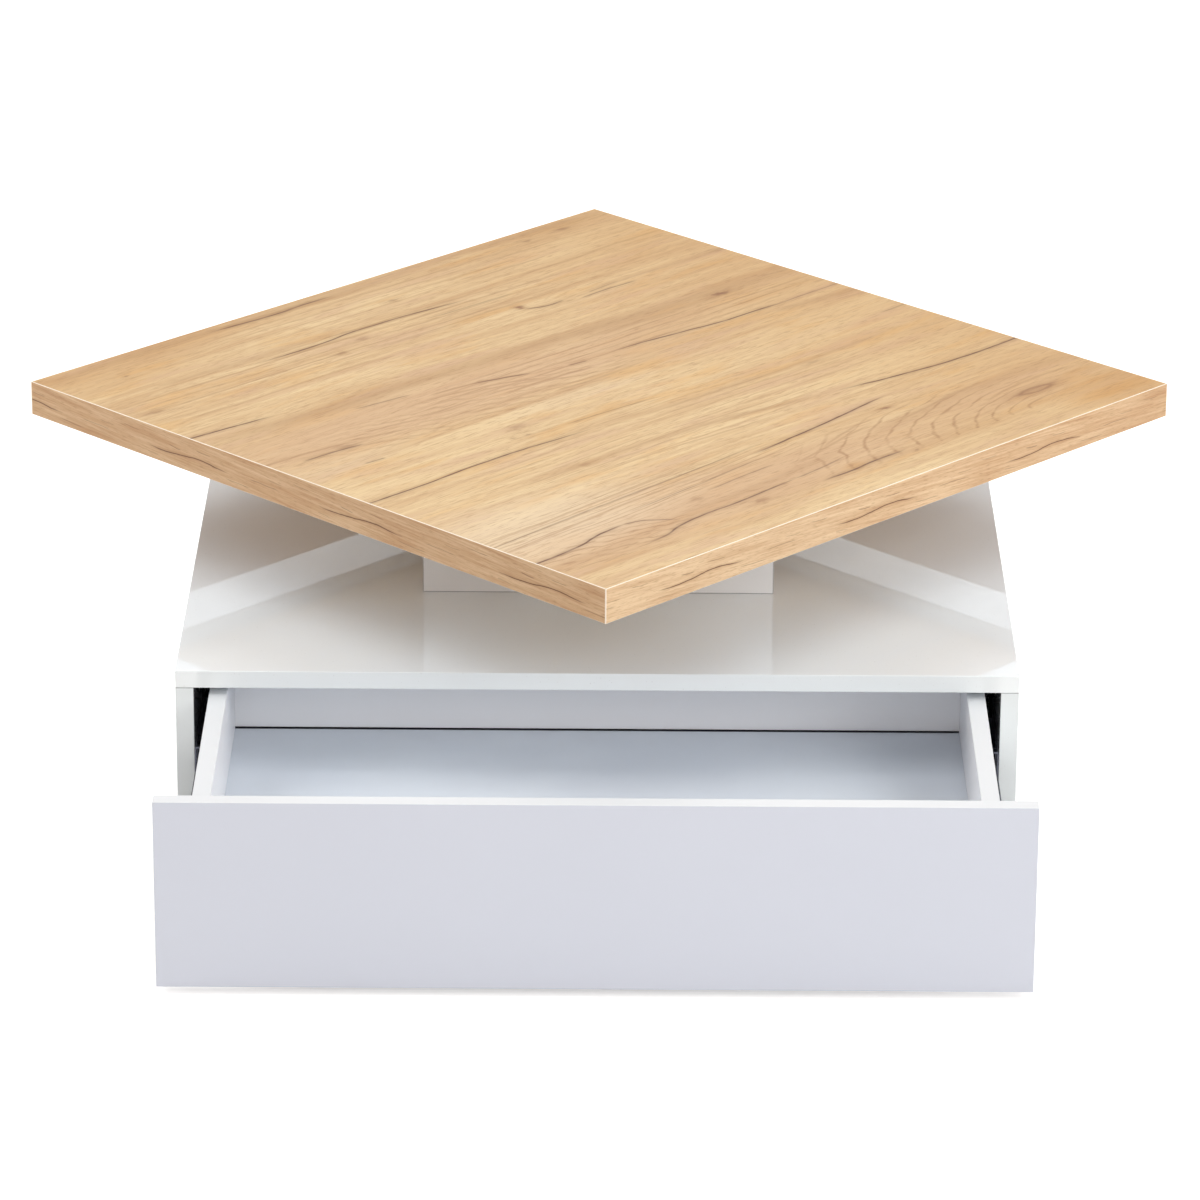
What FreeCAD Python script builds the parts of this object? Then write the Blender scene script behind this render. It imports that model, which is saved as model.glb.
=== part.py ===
import FreeCAD, Part
import math
import os
from collections import namedtuple

# Swivel coffee table: a square oak-print top, its rim doubled from below, turns on a
# ball-bearing ring over a square pedestal, which stands on a low white cabinet with one drawer.
# Millimetres. +Z is up, the floor is z = 0 and the swivel axis is the Z axis. The drawer opens
# towards -Y. Every piece is placed in the stored pose: drawer on its stop, top turned.

# --- Turning top ---------------------------------------------------------------------------
TOP_SIDE = 700.0                # finished square, over the edge bands
TOP_BOARD = 15.0                # board across the whole top
RIM_STRIP = 15.0                # thickness of the strips that double its rim from below
RIM_WIDTH = 63.0
EDGE_BAND = 1.0                 # plastic strip glued round board and rim
BAND_ROUND = 0.5                # rounding of the strip's two long outer edges
TOP_TURN = 45.8                 # degrees anticlockwise from square to the cabinet

# --- Ring bearing under the top -------------------------------------------------------------
RING_HEIGHT = 7.0
RING_CLEARANCE = 1.0            # each ring to the board that it isn't fixed to
RING_MARGIN = 25.0              # pedestal's faces to the ring's outer edge
LOWER_RING_WIDTH = 13.0         # ring's outer edge to the balls' centres
UPPER_RING_WIDTH = 12.0         # balls' centres to the ring's inner edge
RING_BALL_RADIUS = 2.0
RACE_PLAY = 0.1                 # ball to its race
RING_CAGE = 0.6                 # thickness of the cage strip between the rings
RING_CAGE_PLAY = 0.3            # cage strip to each ring
RING_CAGE_HEIGHT = 5.4
RING_BALL_COUNT = 24
RING_SCREW_COUNT = 6

# --- Pedestal -------------------------------------------------------------------------------
PEDESTAL_SIDE = 300.0
PEDESTAL_HEIGHT = 115.0         # cabinet top to the lid's upper face
PEDESTAL_BOARD = 15.0
CORNER_BLOCK = 25.0             # square section of the glued blocks in its corners

# --- Cabinet --------------------------------------------------------------------------------
CABINET_WIDTH = 700.0
CABINET_FRONT = 334.0           # swivel axis to the front edges
CABINET_BACK = 350.0            # swivel axis to the back face
SIDE_HEIGHT = 150.0
CABINET_BOARD = 15.0
BOARD_ROUND = 0.5               # softened edges of every foiled board

# --- Drawer ---------------------------------------------------------------------------------
DRAWER_TRAVEL = 250.0
FRONT_BOARD = 15.0
FRONT_GAP = 1.0                 # closed front to the cabinet's front edges
FRONT_TOP_REVEAL = 4.0          # cabinet's upper face down to the front's upper edge
FRONT_FOOT_REVEAL = 1.0         # cabinet's underside up to the front's lower edge
DRAWER_BOARD = 15.0
DRAWER_TOP_CLEARANCE = 6.0      # drawer side to the cabinet top above it
DRAWER_FOOT_CLEARANCE = 44.0    # drawer side to the cabinet bottom below it
DRAWER_BOTTOM = 3.0
GROOVE_LIP = 11.0               # drawer side's lower edge to the groove
GROOVE_DEPTH = 6.0
GROOVE_PLAY = 0.1               # bottom panel to each wall of its groove
GROOVE_END_PLAY = 0.5           # bottom panel's edge to the end of its groove
BACK_GAP = 1.0                  # bottom panel to the drawer back above it

# --- Drawer slides --------------------------------------------------------------------------
SLIDE_LENGTH = 350.0            # also the length of the drawer sides
SLIDE_THICKNESS = 12.7          # cabinet side to drawer side
SLIDE_HEIGHT = 35.0
SLIDE_SHEET = 1.2
SLIDE_SETBACK = 2.0             # cabinet member behind the cabinet's front edges
SLIDE_LIFT = 2.0                # drawer side's lower edge to the slide's
SLIDE_MOUTH = 2.2               # cabinet member's lips to the drawer side
SLIDE_CAGE_SHEET = 0.8
SLIDE_CAGE_PLAY = 0.4           # cage to the cabinet member's web
SLIDE_LIP_PLAY = 0.6            # cage's web to the drawer member's lips
SLIDE_BALL_PLAY = 0.1           # ball to its race
SLIDE_BALL_SIDE_PLAY = 0.15     # ball to the lips on either side of it
SLIDE_BALL_PITCH = 12.0
SLIDE_LIP = 1.6                 # height of the drawer member's lips above its races
SLIDE_HOOK = 2.8                # height of the cabinet member's lips below its races
CAGE_STOP = 6.0                 # cage to the end of the overlap of the two members
SLIDE_SCREW_INSET = 40.0        # slide's ends to its outermost screws
SLIDE_SCREW_COUNT = 3

# --- Floor glides ---------------------------------------------------------------------------
GLIDE_HEIGHT = 6.0
GLIDE_RADIUS = 7.0
GLIDE_ROUND = 1.0
GLIDE_SPIGOT_RADIUS = 2.5
GLIDE_SPIGOT = 10.0
GLIDE_INSET = 40.0              # cabinet's front and back faces to the outer glides

# --- Fittings -------------------------------------------------------------------------------
PLAY = 0.1                      # radial play of every fitting in its hole
CAM_RADIUS = 7.5
CAM_FLOOR = 1.0                 # cam metal beyond the bolt's head
CAM_REACH = 24.0                # boards' meeting plane to the cam's axis
CAM_HOLE_FLOOR = 0.5            # room behind the cam
CAM_POCKET_PLAY = 0.3           # cam to the bolt inside it
BOLT_RADIUS = 3.5
BOLT_BORE_RADIUS = 4.0
BOLT_NECK_RADIUS = 2.2
BOLT_NECK = 5.0
BOLT_HEAD_RADIUS = 3.2
BOLT_HEAD = 2.6
BOLT_THREAD_RADIUS = 3.0
BOLT_THREAD = 10.0
DOWEL_RADIUS = 4.0
DOWEL_IN_FACE = 10.0            # depth in the board that is bored in its face
DOWEL_IN_EDGE = 20.0            # depth in the board that is bored in its edge
DOWEL_CHAMFER = 1.0
DOWEL_END_PLAY = 0.5
JOINT_INSET = 70.0              # panel's ends to its cam locks
DOWEL_INSET = 30.0              # panel's ends to its outer dowels
CAM_ROW_BACK = 150.0            # swivel axis to the cam locks of the back panel

Screw = namedtuple("Screw", "radius head_radius length point")
SLIDE_SCREW = Screw(radius=1.6, head_radius=3.2, length=12.0, point=3.0)
TOP_SCREW = Screw(radius=1.8, head_radius=3.4, length=16.0, point=3.0)
BLOCK_SCREW = Screw(radius=2.0, head_radius=4.0, length=40.0, point=4.0)
BACK_SCREW = Screw(radius=2.5, head_radius=4.5, length=45.0, point=4.0)
LID_SCREW = Screw(radius=2.0, head_radius=4.0, length=21.0, point=1.0)
LID_SCREW_HEAD = 2.6            # height of the pan head
HEAD_RIM = 0.3                  # straight rim of a countersunk head
RECESS_DEPTH = 1.2              # cross recess in each screw and cam
RECESS_WIDTH = 0.3              # share of the head's radius

# --- Levels and faces that follow from the sizes above --------------------------------------
ORIGIN = FreeCAD.Vector(0, 0, 0)
X = FreeCAD.Vector(1, 0, 0)
Y = FreeCAD.Vector(0, 1, 0)
Z = FreeCAD.Vector(0, 0, 1)

CABINET_FOOT = GLIDE_HEIGHT
BAY_FLOOR = CABINET_FOOT + CABINET_BOARD
BAY_CEILING = CABINET_FOOT + SIDE_HEIGHT
CABINET_TOP = BAY_CEILING + CABINET_BOARD
CABINET_HALF = CABINET_WIDTH / 2
BAY_HALF = CABINET_HALF - CABINET_BOARD
BACK_PANEL_FACE = CABINET_BACK - CABINET_BOARD

PEDESTAL_TOP = CABINET_TOP + PEDESTAL_HEIGHT
PEDESTAL_LID = PEDESTAL_TOP - PEDESTAL_BOARD
PEDESTAL_HALF = PEDESTAL_SIDE / 2
PEDESTAL_INNER = PEDESTAL_HALF - PEDESTAL_BOARD
BLOCK_CENTRE = PEDESTAL_INNER - CORNER_BLOCK / 2

RING_OUTER_RADIUS = PEDESTAL_HALF - RING_MARGIN
RACE_RADIUS = RING_OUTER_RADIUS - LOWER_RING_WIDTH
RING_INNER_RADIUS = RACE_RADIUS - UPPER_RING_WIDTH

BOARD_UNDERSIDE = PEDESTAL_TOP + RING_HEIGHT + RING_CLEARANCE
RIM_UNDERSIDE = BOARD_UNDERSIDE - RIM_STRIP
TOP_SURFACE = BOARD_UNDERSIDE + TOP_BOARD
TOP_HALF = TOP_SIDE / 2
RACE_LEVEL = PEDESTAL_TOP + (RING_HEIGHT + RING_CLEARANCE) / 2
RING_GAP_HALF = RING_CAGE / 2 + RING_CAGE_PLAY

DRAWER_FACE = -(CABINET_FRONT + FRONT_GAP + DRAWER_TRAVEL)      # back face of the open front
DRAWER_END = DRAWER_FACE + SLIDE_LENGTH
DRAWER_BACK_FACE = DRAWER_END + DRAWER_BOARD
DRAWER_HALF = BAY_HALF - SLIDE_THICKNESS
DRAWER_INNER = DRAWER_HALF - DRAWER_BOARD
DRAWER_SIDE_FOOT = BAY_FLOOR + DRAWER_FOOT_CLEARANCE
DRAWER_SIDE_TOP = BAY_CEILING - DRAWER_TOP_CLEARANCE
BOTTOM_UNDERSIDE = DRAWER_SIDE_FOOT + GROOVE_LIP + GROOVE_PLAY
BOTTOM_SURFACE = BOTTOM_UNDERSIDE + DRAWER_BOTTOM

SLIDE_FRONT = -(CABINET_FRONT - SLIDE_SETBACK)
SLIDE_LEVEL = DRAWER_SIDE_FOOT + SLIDE_LIFT + SLIDE_HEIGHT / 2
SLIDE_OUTER_RACE = SLIDE_HEIGHT / 2 - SLIDE_SHEET               # from the slide's centre line
SLIDE_HOOK_FACE = SLIDE_THICKNESS - SLIDE_MOUTH - SLIDE_SHEET   # from the cabinet side
SLIDE_LIP_EDGE = SLIDE_SHEET + SLIDE_CAGE_PLAY + SLIDE_CAGE_SHEET + SLIDE_LIP_PLAY
SLIDE_LIP_FACE = SLIDE_LIP_EDGE + SLIDE_SHEET
SLIDE_BALL_RADIUS = (SLIDE_HOOK_FACE - SLIDE_LIP_FACE) / 2 - SLIDE_BALL_SIDE_PLAY
SLIDE_BALL_OUT = (SLIDE_HOOK_FACE + SLIDE_LIP_FACE) / 2
SLIDE_BALL_UP = SLIDE_OUTER_RACE - SLIDE_BALL_PLAY - SLIDE_BALL_RADIUS
SLIDE_INNER_RACE = SLIDE_BALL_UP - SLIDE_BALL_RADIUS - SLIDE_BALL_PLAY

pieces = {}         # node name -> its solids
drillings = {}      # node name -> tools that are still to be cut out of its solids


# --- Shapes ---------------------------------------------------------------------------------
def box(x_span, y_span, z_span):
    """Block between two values along each axis."""
    low = FreeCAD.Vector(min(x_span), min(y_span), min(z_span))
    high = FreeCAD.Vector(max(x_span), max(y_span), max(z_span))
    size = high - low
    return Part.makeBox(size.x, size.y, size.z, low)


def board(x_span, y_span, z_span):
    """Foiled board with softened edges."""
    plain = box(x_span, y_span, z_span)
    return plain.makeFillet(BOARD_ROUND, plain.Edges)


def turned(profile):
    """Solid turned about +Z from (radius, height) points that begin and end on the axis."""
    outline = Part.makePolygon([FreeCAD.Vector(r, 0, z) for r, z in profile + profile[:1]])
    return Part.Face(outline).revolve(ORIGIN, Z, 360)


def aimed(shape, point, direction):
    """The shape, made along +Z from the origin, moved to a point and aimed along a direction."""
    moved = shape.copy()
    moved.Placement = FreeCAD.Placement(point, FreeCAD.Rotation(Z, direction))
    return moved


def cross_recess(radius):
    """Cross-shaped driver recess, let in from z = 0."""
    half = RECESS_WIDTH * radius / 2
    reach = 0.6 * radius
    depth = (0, RECESS_DEPTH)
    return box((-reach, reach), (-half, half), depth).fuse(box((-half, half), (-reach, reach), depth))


def spaced(low, high, count):
    """Evenly spaced values from low to high, both included."""
    return [low + (high - low) * i / (count - 1) for i in range(count)]


def add(node, solid):
    pieces.setdefault(node, []).append(solid)


def drill(node, tool):
    drillings.setdefault(node, []).append(tool)


# --- Fittings -------------------------------------------------------------------------------
def countersunk(screw, play=0.0):
    """Countersunk screw, head face at z = 0; with play it is the tool that cuts its hole."""
    shank = screw.radius + play
    head = screw.head_radius + play
    shoulder = HEAD_RIM + head - shank
    body = turned([(0, -play), (head, -play), (head, HEAD_RIM), (shank, shoulder),
                   (shank, screw.length - screw.point), (0, screw.length + play)])
    return body if play else body.cut(cross_recess(screw.head_radius))


def drive_screw(node, screw, point, direction, boards):
    """Countersunk screw from a face, holed through each board that it passes."""
    add(node, aimed(countersunk(screw), point, direction))
    for name in boards:
        drill(name, aimed(countersunk(screw, PLAY), point, direction))


def pan_head(screw, play=0.0):
    """Machine screw whose pan head sits below z = 0; with play it is the tool that cuts its hole."""
    if play:
        return Part.makeCylinder(screw.radius + play, screw.length + play)
    dome = screw.head_radius - LID_SCREW_HEAD / 2
    body = turned([(0, -LID_SCREW_HEAD), (dome, -LID_SCREW_HEAD), (screw.head_radius, -LID_SCREW_HEAD / 2),
                   (screw.head_radius, 0), (screw.radius, 0), (screw.radius, screw.length - screw.point),
                   (screw.radius - screw.point, screw.length), (0, screw.length)])
    recess = cross_recess(screw.head_radius)
    recess.translate(Z * -LID_SCREW_HEAD)
    return body.cut(recess)


def dowel_joint(node, face_board, edge_board, point, into_edge):
    """Dowel across a meeting plane: short end in one board's face, long end in the other's edge."""
    length = DOWEL_IN_FACE + DOWEL_IN_EDGE
    tip = DOWEL_RADIUS - DOWEL_CHAMFER
    rod = turned([(0, 0), (tip, 0), (DOWEL_RADIUS, DOWEL_CHAMFER),
                  (DOWEL_RADIUS, length - DOWEL_CHAMFER), (tip, length), (0, length)])
    add(node, aimed(rod, point - into_edge * DOWEL_IN_FACE, into_edge))
    bore = DOWEL_RADIUS + PLAY
    for name, way, depth in ((face_board, -into_edge, DOWEL_IN_FACE), (edge_board, into_edge, DOWEL_IN_EDGE)):
        drill(name, Part.makeCylinder(bore, depth + DOWEL_END_PLAY, point, way))


def cam_bolt():
    """Bolt along +Z: thread below z = 0, head in the cam at z = CAM_REACH."""
    head = CAM_REACH - BOLT_HEAD / 2
    return turned([(0, -BOLT_THREAD), (BOLT_THREAD_RADIUS, -BOLT_THREAD), (BOLT_THREAD_RADIUS, 0),
                   (BOLT_RADIUS, 0), (BOLT_RADIUS, head - BOLT_NECK), (BOLT_NECK_RADIUS, head - BOLT_NECK),
                   (BOLT_NECK_RADIUS, head), (BOLT_HEAD_RADIUS, head),
                   (BOLT_HEAD_RADIUS, head + BOLT_HEAD), (0, head + BOLT_HEAD)])


def cam_joint(prefix, face_board, cam_board, thickness, point, into_cam, cam_face):
    """Cam lock: bolt screwed into one board's face, cam let into the other's face beside its edge.

    The point is on the meeting plane, midway through the cam board's thickness."""
    add(prefix + "_cam_bolts", aimed(cam_bolt(), point, into_cam))
    thread = Part.makeCylinder(BOLT_THREAD_RADIUS + PLAY, BOLT_THREAD + PLAY, point, -into_cam)
    drill(face_board, thread)
    drill(cam_board, Part.makeCylinder(BOLT_BORE_RADIUS, CAM_REACH, point, into_cam))

    cam_height = thickness / 2 + BOLT_HEAD_RADIUS + CAM_FLOOR
    cam_top = point + into_cam * CAM_REACH + cam_face * (thickness / 2)
    pocket_radius = BOLT_HEAD_RADIUS + CAM_POCKET_PLAY
    pocket = Part.makeCylinder(pocket_radius, CAM_REACH + BOLT_HEAD / 2 + CAM_POCKET_PLAY, point, into_cam)
    cam = Part.makeCylinder(CAM_RADIUS, cam_height).cut(cross_recess(CAM_RADIUS))
    add(prefix + "_cams", aimed(cam, cam_top, -cam_face).cut(pocket))
    hole = Part.makeCylinder(CAM_RADIUS + PLAY, cam_height + CAM_HOLE_FLOOR, cam_top, -cam_face)
    drill(cam_board, hole)


# --- Turning top ----------------------------------------------------------------------------
def edge_band(x_span, y_span, outer_face, axis):
    """Edge strip whose two long edges on its outer face are rounded."""
    strip = box(x_span, y_span, (RIM_UNDERSIDE, TOP_SURFACE))
    long_edges = [edge for edge in strip.Edges
                  if all(abs(vertex.Point.dot(axis) - outer_face) < 1e-6 for vertex in edge.Vertexes)
                  and abs(edge.Vertexes[0].Z - edge.Vertexes[1].Z) < 1e-6]
    return strip.makeFillet(BAND_ROUND, long_edges)


def make_top():
    """Board, rim strips, edge strips, the bearing's upper ring and its screws."""
    core = TOP_HALF - EDGE_BAND
    full = (-TOP_HALF, TOP_HALF)
    board_span = (-core, core)
    add("top_board", box(board_span, board_span, (BOARD_UNDERSIDE, TOP_SURFACE)))
    add("edge_band_front_right", edge_band(full, (-TOP_HALF, -core), -TOP_HALF, Y))
    add("edge_band_back_left", edge_band(full, (core, TOP_HALF), TOP_HALF, Y))
    add("edge_band_front_left", edge_band((-TOP_HALF, -core), board_span, -TOP_HALF, X))
    add("edge_band_back_right", edge_band((core, TOP_HALF), board_span, TOP_HALF, X))

    inner = core - RIM_WIDTH
    rim = (RIM_UNDERSIDE, BOARD_UNDERSIDE)
    add("rim_strip_front_right", box(board_span, (-core, -inner), rim))
    add("rim_strip_back_left", box(board_span, (inner, core), rim))
    add("rim_strip_front_left", box((-core, -inner), (-inner, inner), rim))
    add("rim_strip_back_right", box((inner, core), (-inner, inner), rim))

    foot = PEDESTAL_TOP + RING_CLEARANCE
    add("bearing_upper_ring", race_ring(RING_INNER_RADIUS, RACE_RADIUS - RING_GAP_HALF, foot))
    pitch = (RING_INNER_RADIUS + RACE_RADIUS - RING_BALL_RADIUS) / 2
    for point in ring_of_points(pitch, foot, RING_SCREW_COUNT):
        drive_screw("top_ring_screws", TOP_SCREW, point, Z, ["bearing_upper_ring", "top_board"])


# --- Ring bearing ---------------------------------------------------------------------------
def ring_of_points(radius, level, count):
    """Points evenly spaced round the swivel axis."""
    turns = [2 * math.pi * i / count for i in range(count)]
    return [FreeCAD.Vector(radius * math.cos(t), radius * math.sin(t), level) for t in turns]


def race_ring(inner, outer, foot):
    """Flat ring with the balls' race turned into the wall that faces the other ring."""
    ring = Part.makeCylinder(outer, RING_HEIGHT, Z * foot)
    ring = ring.cut(Part.makeCylinder(inner, RING_HEIGHT, Z * foot))
    race = Part.makeTorus(RACE_RADIUS, RING_BALL_RADIUS + RACE_PLAY, Z * RACE_LEVEL)
    return ring.cut(race)


def make_ring_bearing():
    """Lower ring, its screws up through the lid, and the ball cage between the rings."""
    add("bearing_lower_ring", race_ring(RACE_RADIUS + RING_GAP_HALF, RING_OUTER_RADIUS, PEDESTAL_TOP))
    pitch = (RING_OUTER_RADIUS + RACE_RADIUS + RING_BALL_RADIUS) / 2
    for point in ring_of_points(pitch, PEDESTAL_LID, RING_SCREW_COUNT):
        add("lid_ring_screws", aimed(pan_head(LID_SCREW), point, Z))
        for name in ("pedestal_lid", "bearing_lower_ring"):
            drill(name, aimed(pan_head(LID_SCREW, PLAY), point, Z))

    foot = Z * (RACE_LEVEL - RING_CAGE_HEIGHT / 2)
    outer = Part.makeCylinder(RACE_RADIUS + RING_CAGE / 2, RING_CAGE_HEIGHT, foot)
    strip = outer.cut(Part.makeCylinder(RACE_RADIUS - RING_CAGE / 2, RING_CAGE_HEIGHT, foot))
    strip.rotate(ORIGIN, Z, 180 / RING_BALL_COUNT)
    axis_point = Z * RACE_LEVEL
    for point in ring_of_points(RACE_RADIUS, RACE_LEVEL, RING_BALL_COUNT):
        add("bearing_balls", Part.makeSphere(RING_BALL_RADIUS, point))
        pocket_radius = RING_BALL_RADIUS + RACE_PLAY
        outward = point - axis_point
        drill("bearing_cage", Part.makeCylinder(pocket_radius, RACE_RADIUS + RING_CAGE, axis_point, outward))
    add("bearing_cage", strip)


# --- Pedestal -------------------------------------------------------------------------------
def make_pedestal():
    """Four boards, a lid and a glued block in each corner that takes the screws."""
    wall = (CABINET_TOP, PEDESTAL_LID)
    full = (-PEDESTAL_HALF, PEDESTAL_HALF)
    inner = (-PEDESTAL_INNER, PEDESTAL_INNER)
    add("pedestal_front", board(full, (-PEDESTAL_HALF, -PEDESTAL_INNER), wall))
    add("pedestal_back", board(full, (PEDESTAL_INNER, PEDESTAL_HALF), wall))
    add("pedestal_left", board((-PEDESTAL_HALF, -PEDESTAL_INNER), inner, wall))
    add("pedestal_right", board((PEDESTAL_INNER, PEDESTAL_HALF), inner, wall))
    add("pedestal_lid", board(full, full, (PEDESTAL_LID, PEDESTAL_TOP)))

    half = CORNER_BLOCK / 2
    for x in (-BLOCK_CENTRE, BLOCK_CENTRE):
        for y in (-BLOCK_CENTRE, BLOCK_CENTRE):
            add("corner_blocks", box((x - half, x + half), (y - half, y + half), wall))
            lid_point = FreeCAD.Vector(x, y, PEDESTAL_TOP)
            drive_screw("pedestal_lid_screws", BLOCK_SCREW, lid_point, -Z, ["pedestal_lid", "corner_blocks"])
            foot_point = FreeCAD.Vector(x, y, BAY_CEILING)
            drive_screw("pedestal_foot_screws", BLOCK_SCREW, foot_point, Z, ["cabinet_top", "corner_blocks"])


# --- Cabinet --------------------------------------------------------------------------------
def make_cabinet():
    """Top over both sides and the back; back and bottom between the sides."""
    depth = (-CABINET_FRONT, CABINET_BACK)
    walls = (CABINET_FOOT, BAY_CEILING)
    bay = (-BAY_HALF, BAY_HALF)
    add("cabinet_top", board((-CABINET_HALF, CABINET_HALF), depth, (BAY_CEILING, CABINET_TOP)))
    add("cabinet_side_left", board((-CABINET_HALF, -BAY_HALF), depth, walls))
    add("cabinet_side_right", board((BAY_HALF, CABINET_HALF), depth, walls))
    add("cabinet_back", board(bay, (BACK_PANEL_FACE, CABINET_BACK), walls))
    add("cabinet_bottom", board(bay, (-CABINET_FRONT, BACK_PANEL_FACE), (CABINET_FOOT, BAY_FLOOR)))
    join_sides()
    join_back()
    make_glides()


def join_sides():
    """Cam locks and dowels between each side and the top, the bottom and the back."""
    middle = CABINET_BOARD / 2
    for name, hand in (("cabinet_side_left", -1), ("cabinet_side_right", 1)):
        edge_x = hand * (CABINET_HALF - middle)
        face_x = hand * BAY_HALF
        for y in (-CABINET_FRONT + JOINT_INSET, BACK_PANEL_FACE - JOINT_INSET):
            cam_joint("cabinet", "cabinet_top", name, CABINET_BOARD,
                      FreeCAD.Vector(edge_x, y, BAY_CEILING), -Z, -X * hand)
            cam_joint("cabinet", name, "cabinet_bottom", CABINET_BOARD,
                      FreeCAD.Vector(face_x, y, CABINET_FOOT + middle), -X * hand, -Z)
        for y in spaced(-CABINET_FRONT + DOWEL_INSET, BACK_PANEL_FACE - DOWEL_INSET, 3):
            dowel_joint("cabinet_dowels", "cabinet_top", name, FreeCAD.Vector(edge_x, y, BAY_CEILING), -Z)
        for z in spaced(BAY_FLOOR + DOWEL_INSET, BAY_CEILING - DOWEL_INSET, 2):
            dowel_joint("cabinet_dowels", name, "cabinet_back",
                        FreeCAD.Vector(face_x, CABINET_BACK - middle, z), -X * hand)


def join_back():
    """Cam locks and dowels between the back and the top."""
    line = CABINET_BACK - CABINET_BOARD / 2
    for x in (-CAM_ROW_BACK, CAM_ROW_BACK):
        point = FreeCAD.Vector(x, line, BAY_CEILING)
        cam_joint("cabinet", "cabinet_top", "cabinet_back", CABINET_BOARD, point, -Z, -Y)
    for x in spaced(-BAY_HALF + JOINT_INSET, BAY_HALF - JOINT_INSET, 2):
        dowel_joint("cabinet_dowels", "cabinet_top", "cabinet_back", FreeCAD.Vector(x, line, BAY_CEILING), -Z)


def make_glides():
    """Plastic glides under the four side-panel ends and the middle of the bottom."""
    foot = GLIDE_RADIUS - GLIDE_ROUND
    neck = GLIDE_SPIGOT_RADIUS
    spigot_top = GLIDE_HEIGHT + GLIDE_SPIGOT
    glide = turned([(0, 0), (foot, 0), (GLIDE_RADIUS, GLIDE_ROUND), (GLIDE_RADIUS, GLIDE_HEIGHT),
                    (neck, GLIDE_HEIGHT), (neck, spigot_top), (0, spigot_top)])
    edge_x = CABINET_HALF - CABINET_BOARD / 2
    places = [("cabinet_bottom", 0, 0)]
    for y in (-CABINET_FRONT + GLIDE_INSET, CABINET_BACK - GLIDE_INSET):
        places += [("cabinet_side_left", -edge_x, y), ("cabinet_side_right", edge_x, y)]
    for name, x, y in places:
        place = FreeCAD.Vector(x, y, 0)
        add("floor_glides", aimed(glide, place, Z))
        hole_top = place + Z * GLIDE_HEIGHT
        drill(name, Part.makeCylinder(neck + PLAY, GLIDE_SPIGOT + PLAY, hole_top, Z))


# --- Drawer ---------------------------------------------------------------------------------
def make_drawer():
    """Overlay front, two sides, a back across their ends and a thin bottom in grooves."""
    front_top = CABINET_TOP - FRONT_TOP_REVEAL
    front_foot = CABINET_FOOT + FRONT_FOOT_REVEAL
    length = (DRAWER_FACE, DRAWER_END)
    height = (DRAWER_SIDE_FOOT, DRAWER_SIDE_TOP)
    add("drawer_front", board((-CABINET_HALF, CABINET_HALF), (DRAWER_FACE - FRONT_BOARD, DRAWER_FACE),
                              (front_foot, front_top)))
    add("drawer_side_left", board((-DRAWER_HALF, -DRAWER_INNER), length, height))
    add("drawer_side_right", board((DRAWER_INNER, DRAWER_HALF), length, height))
    add("drawer_back", board((-DRAWER_HALF, DRAWER_HALF), (DRAWER_END, DRAWER_BACK_FACE),
                             (BOTTOM_SURFACE + BACK_GAP, DRAWER_SIDE_TOP)))

    tongue = GROOVE_DEPTH - GROOVE_END_PLAY
    add("drawer_bottom", box((-DRAWER_INNER - tongue, DRAWER_INNER + tongue),
                             (DRAWER_FACE - tongue, DRAWER_BACK_FACE), (BOTTOM_UNDERSIDE, BOTTOM_SURFACE)))
    groove_half = DRAWER_INNER + GROOVE_DEPTH
    groove = box((-groove_half, groove_half), (DRAWER_FACE - GROOVE_DEPTH, DRAWER_BACK_FACE),
                 (BOTTOM_UNDERSIDE - GROOVE_PLAY, BOTTOM_SURFACE + GROOVE_PLAY))
    for name in ("drawer_front", "drawer_side_left", "drawer_side_right"):
        drill(name, groove)
    join_drawer()


def join_drawer():
    """One cam lock and two dowels at each front corner, two screws at each back corner."""
    usable = DRAWER_SIDE_TOP - BOTTOM_SURFACE
    low, middle, high = [BOTTOM_SURFACE + usable * share for share in (0.2, 0.5, 0.8)]
    for name, hand in (("drawer_side_left", -1), ("drawer_side_right", 1)):
        x = hand * (DRAWER_HALF - DRAWER_BOARD / 2)
        cam_joint("drawer", "drawer_front", name, DRAWER_BOARD,
                  FreeCAD.Vector(x, DRAWER_FACE, middle), Y, -X * hand)
        for z in (low, high):
            dowel_joint("drawer_dowels", "drawer_front", name, FreeCAD.Vector(x, DRAWER_FACE, z), Y)
            drive_screw("drawer_back_screws", BACK_SCREW, FreeCAD.Vector(x, DRAWER_BACK_FACE, z), -Y,
                        ["drawer_back", name])


# --- Drawer slides --------------------------------------------------------------------------
def slide_section(points, hand, y_span):
    """Bar along Y from a section given as (distance from the cabinet side, height) points."""
    corners = [FreeCAD.Vector(hand * (BAY_HALF - out), min(y_span), SLIDE_LEVEL + up) for out, up in points]
    outline = Part.makePolygon(corners + corners[:1])
    return Part.Face(outline).extrude(Y * (max(y_span) - min(y_span)))


def cabinet_member(hand):
    """Channel on the cabinet side, its lips turned in behind the balls."""
    tip = SLIDE_HOOK_FACE + SLIDE_SHEET
    edge = SLIDE_HEIGHT / 2
    hook = SLIDE_OUTER_RACE - SLIDE_HOOK
    upper = [(0, edge), (tip, edge), (tip, hook), (SLIDE_HOOK_FACE, hook),
             (SLIDE_HOOK_FACE, SLIDE_OUTER_RACE), (SLIDE_SHEET, SLIDE_OUTER_RACE)]
    lower = [(out, -up) for out, up in reversed(upper)]
    return slide_section(upper + lower, hand, (SLIDE_FRONT, SLIDE_FRONT + SLIDE_LENGTH))


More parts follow.
